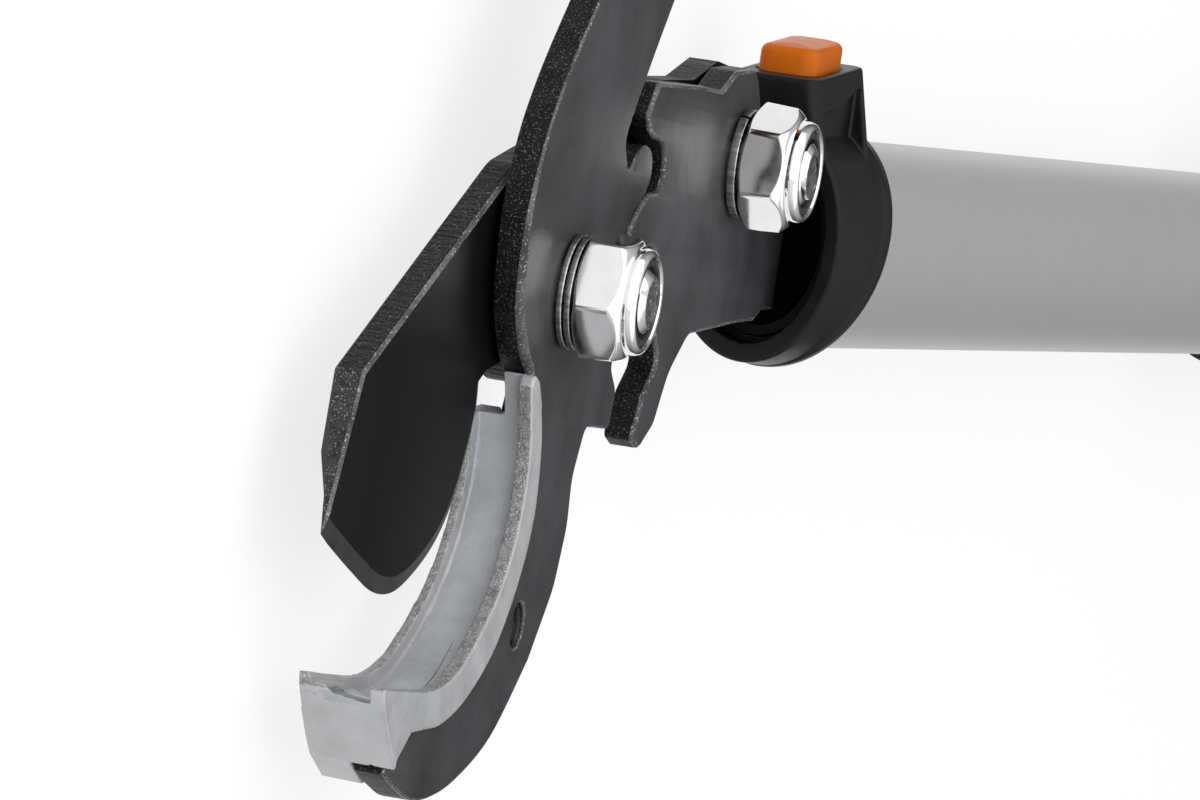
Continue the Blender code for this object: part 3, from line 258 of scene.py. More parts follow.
def arm_outline():
    under_anvil = floor_path(TROUGH_DEPTH + ANVIL_FLOOR + GAP)
    seat = [(x, y) for x, y in under_anvil if x > SEAT_LEFT and y < SEAT_TOP]
    tooth = smooth(mm(TOOTH))
    second_tooth = turned_about(tooth, PIVOT, -TOOTH_PITCH)
    over, under = tang(ARM_COLLAR, ARM_ANGLE, -0.004, 0.004)
    return outline(over, smooth(mm(ARM_FACE)), seat, mm(ARM_TIP[::-1]), smooth(mm(ARM_BACK))[::-1],
                   mm(ARM_STOP[::-1]), second_tooth[::-1], tooth[::-1], smooth(mm(ARM_SHOULDER))[::-1],
                   under)


def lever_outline():
    pocket = smooth(mm(POCKET))
    behind_hook = 20
    second_pocket = turned_about(pocket, LEVER_PIVOT, POCKET_PITCH)[:-behind_hook]
    over, under = tang(LEVER_COLLAR, LEVER_ANGLE, 0.001, 0.002)
    return outline(mm(LEVER_TOP[::-1]), mm(LEVER_LOBE), pocket, second_pocket, mm(LEVER_HOOK),
                   on_handle(LEVER_COLLAR, LEVER_ANGLE, mm(LEVER_UNDER_TANG)), under, over,
                   on_handle(LEVER_COLLAR, LEVER_ANGLE, mm(LEVER_OVER_TANG)))


# Surfaces

def node(tree, kind, inputs=(), **settings):
    """A new shader node; an input is a value or another node's socket."""
    found = tree.nodes.new("ShaderNode" + kind)
    for name, value in settings.items():
        setattr(found, name, value)
    for name, value in inputs:
        if isinstance(value, bpy.types.NodeSocket):
            tree.links.new(value, found.inputs[name])
        else:
            found.inputs[name].default_value = value
    return found


def noise_at(tree, where, scale, detail, roughness=0.5):
    return node(tree, "TexNoise", [("Vector", where), ("Scale", scale), ("Detail", detail),
                                   ("Roughness", roughness)]).outputs["Fac"]


def ranged(tree, value, low, high, new_low=0.0, new_high=1.0):
    return node(tree, "MapRange", [("Value", value), ("From Min", low), ("From Max", high),
                                   ("To Min", new_low), ("To Max", new_high)]).outputs[0]


def blended(tree, share, first, second):
    mix = node(tree, "Mix", [("Factor", share), (6, first), (7, second)], data_type="RGBA")
    return mix.outputs[2]


def reckoned(tree, operation, first, second):
    return node(tree, "Math", [(0, first), (1, second)], operation=operation).outputs[0]


def bump(tree, height, depth):
    return node(tree, "Bump", [("Height", height), ("Distance", depth), ("Strength", 1.0)])


def surface(name, dark, light, roughness, metallic=0.0, specular=0.5, tone=300.0, detail=4.0, grain=2500.0,
            depth=0.00003, waves=0.0, wave_depth=0.0, stretch=(1, 1, 1), turn=(0, 0, 0), specks=None):
    """A surface whose colour and roughness vary between two values, with a fine relief and bright specks.
    specks is (how many a metre, how rare from 0 to 1, colour)."""
    made = bpy.data.materials.new(name)
    made.use_nodes = True
    tree = made.node_tree
    shader = tree.nodes["Principled BSDF"]
    where = node(tree, "TexCoord").outputs["Object"]
    mapping = node(tree, "Mapping", [("Vector", where), ("Scale", stretch), ("Rotation", turn)])
    moved = mapping.outputs[0]
    tones = noise_at(tree, moved, tone, detail, 0.6)
    colour = blended(tree, ranged(tree, tones, 0.3, 0.7), (*dark, 1), (*light, 1))
    if specks:
        often, rare, bright = specks
        dots = noise_at(tree, where, often, 1.0)
        shown = ranged(tree, dots, 0.5 + rare / 4, 0.56 + rare / 4)
        colour = blended(tree, shown, colour, (*bright, 1))
    relief = bump(tree, noise_at(tree, moved, grain, 3.0), depth)
    if waves:
        broad = bump(tree, noise_at(tree, where, waves, 2.0), wave_depth)
        tree.links.new(broad.outputs[0], relief.inputs["Normal"])
    tree.links.new(colour, shader.inputs["Base Color"])
    tree.links.new(ranged(tree, tones, 0.25, 0.75, *roughness), shader.inputs["Roughness"])
    tree.links.new(relief.outputs[0], shader.inputs["Normal"])
    shader.inputs["Metallic"].default_value = metallic
    shader.inputs["Specular IOR Level"].default_value = specular
    return made


def grey(level, blue=1.0):
    """A grey of a brightness, bluer where blue is over 1."""
    return (level, level * (1 + 0.4 * (blue - 1)), level * blue)


# The materials
COAT = surface("powder_coat", grey(0.016, 1.08), grey(0.050, 1.12), (0.28, 0.46), specular=0.32, tone=42,
               detail=6.0, grain=2000, depth=0.00005, waves=150, wave_depth=0.00022)
# The plates' sides: the coat with a coarse relief, its colour painted darker as shade, and bright specks as
# painted glints.
COAT_SIDE_PAINTED_SHADE = surface("powder_coat_side_painted_shade", grey(0.0015, 1.1), grey(0.011, 1.1), (0.30, 0.50), specular=0.09,
                    tone=260, detail=8.0, grain=2300, depth=0.00030, specks=(3600, 0.46, grey(0.08, 1.06)))
WORN = surface("worn_edge", grey(0.016, 1.1), grey(0.13, 1.05), (0.28, 0.44), 0.1, 0.3, tone=110,
               detail=6.0, grain=3000, specks=(2600, 0.45, grey(0.30)))
THREAD = surface("dark_thread", grey(0.006), grey(0.05), (0.3, 0.45), 0.3, 0.3, tone=900)
BLADE = surface("blade_coat", grey(0.0020), grey(0.0080, 1.05), (0.30, 0.38), specular=0.04, tone=22,
                grain=4000, depth=0.000008)
GROUND = surface("ground_bevel", grey(0.014), grey(0.034, 1.03), (0.30, 0.42), specular=0.15, tone=200,
                 grain=1300, stretch=(1, 1, 5))
SPINE = surface("ground_spine", grey(0.0006), grey(0.013, 1.03), (0.3, 0.6), specular=0.08, tone=420,
                grain=1100, depth=0.00040, stretch=(1, 0.35, 0.20), turn=(0.6, 0.35, 0.5),
                specks=(3600, 0.60, grey(0.15)))
BLUNT = surface("cut_end", grey(0.007), grey(0.052, 1.03), (0.3, 0.6), specular=0.15, tone=500, detail=8.0,
                grain=1700, depth=0.00040, specks=(3600, 0.48, grey(0.22)))
CAST = surface("cast_metal", grey(0.36, 1.03), grey(0.46, 1.04), (0.30, 0.46), 0.25, tone=160, detail=10.0,
               grain=2800, depth=0.00006, waves=600, wave_depth=0.00004, specks=(1500, 1.0, grey(0.2)))
FLOOR_CAST = surface("cast_channel", grey(0.31, 1.12), grey(0.50, 1.08), (0.28, 0.44), 0.25, tone=110,
                     detail=10.0, grain=2800, depth=0.00010, waves=900, wave_depth=0.00006)
RIM = surface("ground_rim", grey(0.14), grey(0.36), (0.24, 0.5), 0.3, tone=900, detail=10.0, grain=2900,
              depth=0.00026, specks=(4300, 0.40, grey(0.55)))
# Painted shade: the channel's floor at the nose end, made darker where it lies in shade.
NOTCH_SHADE = surface("notch_shade", grey(0.10), grey(0.24), (0.4, 0.6), 0.2, tone=500, grain=2400, depth=0.0001)
CHROME = surface("bright_zinc", grey(0.78), grey(0.86), (0.06, 0.12), 1.0, grain=700, depth=0.000002,
                 waves=200, wave_depth=0.000014)
WASHER = surface("washer_zinc", grey(0.26), grey(0.62), (0.16, 0.30), 1.0, tone=500, grain=900,
                 depth=0.00001, stretch=(3, 3, 0.3))
BOLT_TOP = surface("bolt_end", grey(0.07), grey(0.26), (0.34, 0.5), 0.9, tone=800, grain=1300,
                   depth=0.00016, specks=(1700, 0.5, grey(0.45)))
NYLON = surface("nylon", grey(0.020), grey(0.040), (0.4, 0.55), specular=0.2, tone=600)
BRONZE = surface("bronze", (0.20, 0.13, 0.06), (0.30, 0.21, 0.10), (0.35, 0.5), 0.8, tone=500)
PLASTIC = surface("black_plastic", grey(0.0018), grey(0.0042, 1.04), (0.32, 0.44), specular=0.20, tone=220,
                  grain=3200, waves=500, wave_depth=0.00003)
# Plastic painted near black as shade, for the faces deep in the collar's mouth and the remaining black
# plastic solids.
PLASTIC_PAINTED_SHADE = surface("painted_shade_plastic", grey(0.0008), grey(0.0015), (0.6, 0.8), specular=0.02, tone=220)
ORANGE = surface("orange_plastic", (0.47, 0.098, 0.0006), (0.53, 0.120, 0.0010), (0.28, 0.38),
                 specular=0.12, tone=180, depth=0.000012)
TUBE = surface("grey_tube", grey(0.388), grey(0.402), (0.36, 0.38), 0.2, 0.4, tone=120, grain=3000,
               depth=0.000008)
# Near-black tube surface, for the solids in the dark_tube slot, and painted shade on the outer tubes' near
# ends inside the collar's mouth.
DARK_TUBE_AND_SHADE = surface("dark_tube", grey(0.004), grey(0.007), (0.45, 0.6), specular=0.1, tone=200)
RUBBER = surface("rubber", grey(0.010), grey(0.018), (0.6, 0.8), specular=0.2, tone=400, grain=1800,
                 depth=0.00008)
CRACK = surface("casting_line", grey(0.030), grey(0.080), (0.5, 0.7), specular=0.3, tone=900)
# The remaining black plastic solids get plastic painted near black as shade.
BY_SLOT = {"coated_steel": COAT, "blade_coat": BLADE, "cast_anvil": CAST, "zinc": CHROME, "nylon": NYLON,
           "disc": BRONZE, "black_plastic": PLASTIC_PAINTED_SHADE, "orange_plastic": ORANGE, "grey_tube": TUBE,
           "dark_tube": DARK_TUBE_AND_SHADE, "rubber": RUBBER}


# Mesh building

def linked(name, data):
    """A new object of the scene."""
    found = bpy.data.objects.new(name, data)
    bpy.context.scene.collection.objects.link(found)
    return found


def finish_piece(name, mesh, body, slot, nodes, surfaces, sharp=35.0, where=HEAD_PLANE):
    """A new piece that moves with a body and stands in for some nodes. Each face's kind picks its surface."""
    mesh.transform(where)
    kinds = [min(polygon.material_index, len(surfaces) - 1) for polygon in mesh.polygons]
    mesh.materials.clear()
    for made in surfaces:
        mesh.materials.append(made)
    mesh.polygons.foreach_set("material_index", kinds)
    if sharp:
        mesh.set_sharp_from_angle(angle=radians(sharp))
    piece = linked(name, mesh)
    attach(piece, body)
    if nodes:
        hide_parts(*nodes)


def mesh_of(name, points, faces, kinds=None):
    mesh = bpy.data.meshes.new(name)
    mesh.from_pydata(points, [], faces)
    mesh.shade_smooth()
    if kinds:
        mesh.polygons.foreach_set("material_index", kinds)
    work = bmesh.new()
    work.from_mesh(mesh)
    bmesh.ops.remove_doubles(work, verts=work.verts, dist=0.000002)
    bmesh.ops.recalc_face_normals(work, faces=work.faces)
    work.to_mesh(mesh)
    work.free()
    return mesh


def bridged(first, second, count):
    """The faces between two closed rings of as many points, by the numbers of their first points."""
    return [(first + i, first + (i + 1) % count, second + (i + 1) % count, second + i) for i in range(count)]


def cap_over(points, rings):
    """Triangles over a flat region; each ring is a list of the numbers of its points."""
    flat = [index for ring in rings for index in ring]
    corners = [[Vector(points[index]) for index in ring] for ring in rings]
    return [tuple(flat[i] for i in triangle) for triangle in tessellate_polygon(corners)]


def flats_unsmoothed(mesh):
    """The mesh with its flat faces shaded plainly."""
    for polygon in mesh.polygons:
        if polygon.material_index == FLAT:
            polygon.use_smooth = False
    return mesh


def plate_mesh(name, outer, holes, front):
    """A plate with rounded edges. front is a rule of x and y for the rounding of its front edge.
    Its faces are flats, sides and rounded front edges."""
    loops = [oriented(outer, True)] + [oriented(hole, False) for hole in holes]
    rear_edge, steps = 0.0003, 4
    turns = [pi / 2 * k / steps for k in range(steps + 1)]
    rounds = [(-PLATE, -1, lambda x, y: rear_edge, turns[::-1]), (0, 1, front, turns)]
    points, faces, kinds, starts = [], [], [], []
    for loop in loops:
        out = outwards(loop)
        rows = []
        for level, side, rule, turning in rounds:
            for turn in turning:
                row = []
                for (x, y), (nx, ny) in zip(loop, out):
                    size = rule(x, y)
                    inset = size * (1 - cos(turn))
                    row.append((x - nx * inset, y - ny * inset, level - side * size * (1 - sin(turn))))
                rows.append(row)
        start, count = len(points), len(loop)
        starts.append((start, count, start + (len(rows) - 1) * count))
        for row in rows:
            points += row
        for r in range(len(rows) - 1):
            faces += bridged(start + r * count, start + (r + 1) * count, count)
            kinds += [ROUNDED if r > steps else SIDE] * count
    for firsts in ([start for start, count, last in starts], [last for start, count, last in starts]):
        rings = [list(range(first, first + count)) for first, (start, count, last) in zip(firsts, starts)]
        caps = cap_over(points, rings)
        faces += caps
        kinds += [FLAT] * len(caps)
    return flats_unsmoothed(mesh_of(name, points, faces, kinds))


def grid_mesh(name, rows, closed_rows=False, kind_of=None):
    """A surface through rows of as many points each, every row closed round. kind_of is a rule of the row."""
    count = len(rows[0])
    points = [p for row in rows for p in row]
    faces, kinds = [], []
    for row, following in enumerate(list(range(1, len(rows))) + ([0] if closed_rows else [])):
        faces += bridged(row * count, following * count, count)
        kinds += [kind_of(row) if kind_of else 0] * count
    return mesh_of(name, points, faces, kinds)


def capped(rows):
    """Rows closed at both ends by a point in the middle."""
    def middle(row):
        x, y, z = (sum(p[k] for p in row) / len(row) for k in range(3))
        return [(x, y, z)] * len(row)
    return [middle(rows[0])] + rows + [middle(rows[-1])]


def softmin(a, b, k):
    """The smaller of two values, with a soft change from one to the other."""
    h = max(k - abs(a - b), 0) / k
    return min(a, b) - h * h * k / 4


def hex_radius(angle, flats, turn):
    """The radius of a hexagon with slightly rounded corners, at an angle in degrees."""
    found, edge_on, soft = 1.0, 0.3, 0.0006
    for side in range(6):
        towards = cos(radians(angle - turn - 30 - 60 * side))
        if towards > edge_on:
            found = softmin(found, flats / 2 / towards, soft)
    return found


def along_profile(profile, step):
    """Points of a profile of (radius, height) with more of them on its straights."""
    found = []
    for a, b in zip(profile, profile[1:]):
        count = max(1, ceil(hypot(b[0] - a[0], b[1] - a[1]) / step))
        found += [(a[0] + (b[0] - a[0]) * i / count, a[1] + (b[1] - a[1]) * i / count) for i in range(count)]
    return found + [profile[-1]]


def round_corners(profile, radius):
    """A profile whose corners between its ends are rounded."""
    found, steps = [profile[0]], 4
    for before, corner, after in zip(profile, profile[1:], profile[2:]):
        a, b, c = Vector(before), Vector(corner), Vector(after)
        r = min(radius, (a - b).length * 0.45, (c - b).length * 0.45)
        start, end = b + (a - b).normalized() * r, b + (c - b).normalized() * r
        for k in range(steps + 1):
            t = k / steps
            found.append(tuple(start * (1 - t) ** 2 + b * 2 * t * (1 - t) + end * t ** 2))
    return found + [profile[-1]]


def spun(name, profile, centre, radius_rule=None, around=128, kind_of=None):
    """A profile turned round a centre; radius_rule may change the radius at an angle and height."""
    rows = []
    for radius, height in profile:
        row = []
        for i in range(around):
            angle = 360 * i / around
            r = radius_rule(angle, radius, height) if radius_rule else radius
            row.append(place(centre, angle, r, 0) + (height,))
        rows.append(row)
    return grid_mesh(name, rows, kind_of=kind_of)


# The head's plates

def front_corner(x, y):
    """The arm's front edge, which is ground back beside the pivot on its left side."""
    least, added = 0.00035, 0.0008
    left_of, lowest, highest = -0.010, -0.016, 0.030
    if x > left_of or not lowest < y < highest:
        return least
    t = share_between(y, 0.022, -0.006)
    return least + added * t * t * (3 - 2 * t) * share_between(y, -0.0155, -0.0125)


def build_plate(name, body, outer, holes, edge):
    mesh = plate_mesh(name, spread(outer), holes, edge)
    # The sides take the coat painted darker as shade, with painted glints.
    finish_piece(name, mesh, body, "coated_steel", [body], [COAT, COAT_SIDE_PAINTED_SHADE, WORN])


def build_arm_and_lever():
    arm_holes = [circle(PIVOT, PIVOT_HOLE), circle(ANVIL_SCREW, SCREW_HOLE)]
    lever_edge = 0.0006
    build_plate("arm_plate", "anvil_arm", arm_outline(), arm_holes, front_corner)
    build_plate("lever_plate", "lever", lever_outline(), [circle(LEVER_PIVOT, PIVOT_HOLE)],
                lambda x, y: lever_edge)


def build_tapped_hole():
    """The thread in the hole of the anvil's screw."""
    pitch, depth = 0.0010, 0.0002

    def thread(angle, radius, height):
        t = (height / pitch + angle / 360) % 1.0
        return radius - depth * abs(2 * t - 1)

    profile = along_profile([(SCREW_HOLE, -0.0003), (SCREW_HOLE - 0.00002, -0.0024)], 0.0001)
    mesh = spun("tapped_thread", profile, ANVIL_SCREW, thread, around=48)
    finish_piece("tapped_thread", mesh, "anvil_arm", "coated_steel", [], [THREAD])


def blade_rows():
    """The blade's outline at each of its heights: its edge is ground from both faces.
    With it come the counts of points up to the edge's end and up to the chamfered spine.
    The edge is the anvil's ridge, opened by an angle and lifted towards its heel."""
    opened, heel_lift, heel_start, heel_end, hub = -14.0, 0.0012, -0.0290, -0.0220, 0.014
    ridge = [(x, y) for x, y in ridge_path(8) if y < SEAT_TOP]
    towards_heel = [share_between(y, heel_start, heel_end) for x, y in ridge]
    lifted = offset_path(ridge, [heel_lift * share for share in towards_heel])
    edge = turned_about(lifted, PIVOT, opened)[::-1]
    tip, (top_corner, spine_corner) = mm([BLADE_TIP])[0], mm(BLADE_SPINE)
    blunt_end = degrees(atan2(top_corner[1] - tip[1], top_corner[0] - tip[0]))
    spine_points = len(rounded(top_corner, spine_corner, mm(CARRIER_TOP)[0]))
    rest = outline(mm(BLADE_SPINE + CARRIER_TOP + CARRIER_END), arc(PIVOT, hub, -80, -130),
                   mm(BLADE_HEEL[::-1]))[:0:-1]
    bend = len(rest) - spine_points
    rear = 0.0125
    # Each row: height, how far the edge lies back, how far the spine lies back
    rear_rows = [(BLADE_REAR, rear, 0.0004), (BLADE_REAR + 0.0003, rear * 0.92, 0),
                 (BLADE_FRONT - 0.0007, rear * 0.026, 0)]
    front_rows = [(BLADE_FRONT - 0.0006, 0, 0.0001), (BLADE_FRONT - 0.00055, 0.0002, 0.00015),
                  (BLADE_FRONT - 0.0003, 0.00125, 0.0004), (BLADE_FRONT - 0.00005, 0.0023, 0.00065),
                  (BLADE_FRONT, 0.0025, 0.0007)]
    rows = []
    for group, at_heel, at_tip in ((rear_rows, 0.6, 1.85), (front_rows, 1, 1)):
        for height, edge_inset, spine_inset in group:
            insets = [edge_inset * (1 - (1 - at_heel) * share) for share in towards_heel[::-1]]
            ring = [place(tip, blunt_end, edge_inset * at_tip, 0)] + offset_path(edge, insets)
            ring += rest[:bend] + offset_path(rest[bend:], spine_inset)
            ring.append(place(top_corner, blunt_end, -spine_inset, 0))
            rows.append([(x, y, height) for x, y in ring])
    return rows, len(edge) + 1, bend + len(edge) + 1


def build_blade():
    rows, edge_count, spine_start = blade_rows()
    count = len(rows[0])
    chamfer_from = 3

    def kind_of(row, i):
        if row >= chamfer_from and i >= spine_start:
            return CHAMFER
        if i == count - 1:
            return CUT_END
        return BEVEL if i < edge_count else SPINE_SIDE

    points = [p for row in rows for p in row]
    faces, kinds = [], []
    for r in range(len(rows) - 1):
        faces += bridged(r * count, (r + 1) * count, count)
        kinds += [kind_of(r, i) for i in range(count)]
    for first in (0, (len(rows) - 1) * count):
        caps = cap_over(points, [list(range(first, first + count))])
        faces += caps
        kinds += [COATED] * len(caps)
    mesh = flats_unsmoothed(mesh_of("blade_plate", points, faces, kinds))
    finish_piece("blade_plate", mesh, "blade", "blade_coat", ["blade"],
                 [BLADE, GROUND, SPINE, BLUNT, WORN], sharp=8.0)


# The anvil

def prism(name, loop, low, high):
    """A plain prism, used to shape another piece."""
    loop = oriented(loop, True)
    count = len(loop)
    points = [(x, y, z) for z in (low, high) for x, y in loop]
    faces = bridged(0, count, count)
    for triangle in cap_over(points, [list(range(count))]):
        faces.append(triangle)
        faces.append(tuple(count + i for i in triangle[::-1]))
    return linked(name, mesh_of(name, points, faces))


def combined(target, tools, operation="DIFFERENCE"):
    """The target with the tools cut from it, or joined to it."""
    for tool in tools:
        change = target.modifiers.new("cut", "BOOLEAN")
        change.operation = operation
        change.solver = "EXACT"
        change.object = tool
    return target


def settled(target, tools, voxel, keep):
    """The piece with its changes made, its edges rounded like a casting's and a share of its faces kept.
    Its tools are deleted."""
    remesh = target.modifiers.new("remesh", "REMESH")
    remesh.mode = "VOXEL"
    remesh.voxel_size = voxel
    remesh.use_smooth_shade = True
    relax = target.modifiers.new("relax", "SMOOTH")
    relax.iterations = 2
    relax.factor = 0.5
    thin = target.modifiers.new("thin", "DECIMATE")
    thin.ratio = keep
    bpy.context.view_layer.update()
    mesh = bpy.data.meshes.new_from_object(target.evaluated_get(bpy.context.evaluated_depsgraph_get()))
    for obj in [target, *tools]:
        bpy.data.objects.remove(obj, do_unlink=True)
    mesh.shade_smooth()
    return mesh


def towards_nose(x):
    """How far a place is along the anvil: 0 at its middle, 1 at its nose."""
    return share_between(x, -0.020, -0.065)


def flared(obj, rise=0.0):
    """The anvil's far side leant away from the arm, and raised towards the nose."""
    lean_x, lean_y = 0.015, 0.040
    for vertex in obj.data.vertices:
        if vertex.co.z < -PLATE:
            x, y, z = vertex.co
            vertex.co = (x, y + rise * towards_nose(x), z + lean_x * x + lean_y * y)
    return obj


def wedge(name):
    """What the channel keeps of its floor at the nose: it slopes up to the far wall's top."""
    rows = []
    bottom, level = -0.0640, -0.0574 - TROUGH_DEPTH
    far, near = -0.0105, NEAR_WALL_INSIDE + 0.0002
    for x, lift in ((-0.046, 0.0), (-0.0575, 0.0019), (-0.0800, 0.0024)):
        rows.append([(x, bottom, near), (x, level - 0.0002, near), (x, level + 0.30 * lift, -0.0059),
                     (x, level + 0.85 * lift, -0.0071), (x, level + lift, -0.0092), (x, level + lift, far),
                     (x, bottom, far)])
    return solid(name, rows)


def distance_from(path, x, y):
    """How far a point is from a path, by the two stretches next to the path's nearest point."""
    near = min(range(1, len(path) - 1), key=lambda i: (path[i][0] - x) ** 2 + (path[i][1] - y) ** 2)
    found = []
    for (ax, ay), (bx, by) in ((path[near - 1], path[near]), (path[near], path[near + 1])):
        found.append(abs((bx - ax) * (y - ay) - (by - ay) * (x - ax)) / hypot(bx - ax, by - ay))
    return min(found)


def anvil_kind(polygon, ridge):
    """Which surface a face of the casting has, by its place and direction; the upward faces of the notch at
    the nose get painted shade.
    """
    rim_width, side_on = 0.00045, 0.5
    notch_end, notch_top, notch_rear, upwards = -0.0600, -0.0578, -0.0092, 0.4
    channel_end, channel_width = -0.0675, TROUGH_DEPTH * 1.2
    x, y, z = polygon.center
    distance = distance_from(ridge, x, y)
    rise = ANVIL_RISE * towards_nose(x) if z < -PLATE else 0
    if distance < rim_width + rise and polygon.normal.z ** 2 < side_on:
        return RIM_FACE
    # Upward faces in the notch at the channel's nose end get painted shade.
    in_shaded_notch = x < notch_end and y < notch_top and notch_rear < z < NEAR_WALL_INSIDE
    if in_shaded_notch and polygon.normal.y > upwards:
        return NOTCH_SHADE_FACE
    if distance < channel_width and ANVIL_REAR < z < NEAR_WALL_INSIDE and x > channel_end:
        return CHANNEL_FACE
    return AS_CAST


def build_anvil():
    """A block with its channel, cut to fit on the arm's edge and rounded like a casting."""
    sides = outline(ridge_path()[:-1], smooth(mm(ANVIL_NOSE))[:-1],
                    mm(ANVIL_NOSE[-1:] + ANVIL_REAR_SIDE + ANVIL_TOP))
    block = flared(prism("anvil_block", sides, ANVIL_REAR, ANVIL_FRONT), ANVIL_RISE)
    past_top, past_nose, above = mm(TROUGH_ENDS)
    channel = outline([past_top], floor_path(TROUGH_DEPTH)[1:-1], [past_nose, above])
    trough = flared(prism("anvil_trough", channel, ANVIL_REAR + FAR_WALL, NEAR_WALL_INSIDE))
    keep = wedge("channel_wedge")
    combined(trough, [keep])
    slot = prism("anvil_slot", grown(arm_outline(), GAP), -PLATE - GAP, GAP)
    flange = outline(smooth(mm(ANVIL_FLANGE)), mm(ANVIL_TRIM))
    trim = prism("anvil_front_trim", flange, -PLATE / 2, 2 * ANVIL_FRONT)
    below, top_cut_high = 4 * ANVIL_REAR, -0.0030
    seat_radius, ear = 0.0078, 0.0036
    top_cut = prism("anvil_top_cut", mm(ANVIL_TOP_CUT), below, top_cut_high)
    seat = prism("anvil_screw_seat", circle(ANVIL_SCREW, seat_radius), below, -PLATE - GAP - ear)
    hole = prism("anvil_screw_hole", circle(ANVIL_SCREW, SCREW_HOLE), below, -PLATE / 2)
    tools = [trough, slot, trim, top_cut, seat, hole]
    mesh = settled(combined(block, tools), tools + [keep], voxel=0.00026, keep=0.4)
    ridge = ridge_path(8)
    mesh.polygons.foreach_set("material_index", [anvil_kind(polygon, ridge) for polygon in mesh.polygons])
    finish_piece("anvil_casting", mesh, "anvil_arm", "cast_anvil", ["anvil"],
                 [CAST, RIM, FLOOR_CAST, NOTCH_SHADE], sharp=0)
    build_casting_lines()


def build_casting_lines():
    """Two fine seams on the channel's floor, just proud of it, thin at their ends."""
    proud, lowest = 0.00004, -0.040
    path = floor_path(TROUGH_DEPTH - proud)
    for number, start, end, z, half in ((1, -0.0480, -0.0225, -0.00245, 0.00006),
                                        (2, -0.0440, -0.0375, -0.00120, 0.00005)):
        run = [(x, y) for x, y in path if start < x < end and y < lowest]
        points, faces = [], []
        for k, (x, y) in enumerate(run):
            w = half * (0.4 + 0.6 * sin(pi * k / (len(run) - 1)))
            points += [(x, y, z - w), (x, y, z + w)]
        for k in range(len(run) - 1):
            faces.append((2 * k, 2 * k + 1, 2 * k + 3, 2 * k + 2))
        name = "casting_line_%d" % number
        finish_piece(name, mesh_of(name, points, faces), "anvil_arm", "cast_anvil", [], [CRACK])


# Fasteners

def build_bolt(name, centre, nut_low, body):
    """A hexagon bolt: its head below, its thread showing at its end."""
    low, head_top, end = -FACE_HEIGHT, -0.0116, nut_low + NUT_HEIGHT + 0.0004
    pitch, depth = 0.0015, 0.0007
    shank, axis = 0.00497, 0.00005

    def shape(angle, radius, height):
        if height < head_top + 0.00005 and radius > 0.006:
            return softmin(radius, hex_radius(angle, ACROSS_FLATS, 20), 0.0003)
        if height > nut_low and radius > 0.003:
            t = (height / pitch - angle / 360) % 1.0
            return radius - depth * min(1, (height - nut_low) / 0.001) * (1 - abs(2 * t - 1)) ** 1.2
        return radius

    profile = [(axis, low), (0.0075, low), (0.0083, low + 0.0001), (0.0102, low + 0.0011),
               (0.0102, head_top - 0.0001), (0.0100, head_top), (shank, head_top), (shank, end - 0.0013)]
    profile = along_profile(round_corners(profile, 0.0002), 0.00022)
    profile += [(0.0046, end - 0.0008), (0.0039, end - 0.00005), (0.0037, end), (0.0032, end - 0.00004),
                (0.0028, end - 0.0002), (0.0015, end - 0.00030), (axis, end - 0.00030)]
    flat_end = len(profile) - 6
    piece = name + "_detail"
    mesh = spun(piece, profile, centre, shape, kind_of=lambda row: int(row >= flat_end))
    finish_piece(piece, mesh, body, "zinc", [name], [CHROME, BOLT_TOP])


def build_nut(name, centre, low, turn, body):
    """A lock nut: rounded hexagon, then a rolled collar over its nylon ring."""
    hex_top, top = low + NUT_HEX, low + NUT_HEIGHT
    draft = 0.10

    def shape(angle, radius, height):
        if height > hex_top + 0.0002 or radius < 0.0070:
            return radius
        return softmin(radius, hex_radius(angle, ACROSS_FLATS - draft * (height - low), turn), 0.0003)

    outside = [(PIVOT_HOLE, low), (0.0082, low), (0.0100, low + 0.0009), (0.0100, hex_top - 0.0017),
               (0.0086, hex_top - 0.0003), (0.0080, hex_top), (0.0077, hex_top + 0.0003),
               (0.0077, top - 0.0012), (0.0074, top - 0.0004), (0.0068, top), (0.0064, top - 0.0001)]
    inside = [(0.00625, top - 0.0004), (0.0065, top - 0.0022), (PIVOT_HOLE, top - 0.0023),
              (PIVOT_HOLE, low)]
    profile = along_profile(round_corners(outside, 0.0003) + inside, 0.0002)
    piece = name + "_detail"
    mesh = spun(piece, profile, centre, shape, around=216)
    finish_piece(piece, mesh, body, "zinc", [name], [CHROME], sharp=28)


def washer_profile(inner, outer, low, high):
    middle = (inner + outer) / 2
    profile = [(middle, low), (outer, low), (outer, high), (inner, high), (inner, low), (middle, low)]
    return round_corners(profile, min(0.00022, (high - low) * 0.3))


def build_washer(name, node_name, centre, body, inner, outer, low, high, made=WASHER, slot="zinc"):
    mesh = spun(name, washer_profile(inner, outer, low, high), centre, around=96)
    finish_piece(name, mesh, body, slot, [node_name], [made])


def build_spring_washer(name, node_name, centre, body, inner, outer, low, high):
    """A split washer: its cut is slanted and its ends are slightly apart in height."""
    profile = washer_profile(inner, outer, low, high)
    start, sweep, count = 125.0, 355.6, 96
    slant, apart = 1600, 0.00010
    rows = []
    for k in range(count + 1):
        angle = start + sweep * k / count
        lift = apart * (k / count - 0.5)
        rows.append([place(centre, angle + (height - low) * slant, radius, 0) + (height + lift,)
                     for radius, height in profile])
    finish_piece(name, grid_mesh(name, capped(rows)), body, "zinc", [node_name], [WASHER])


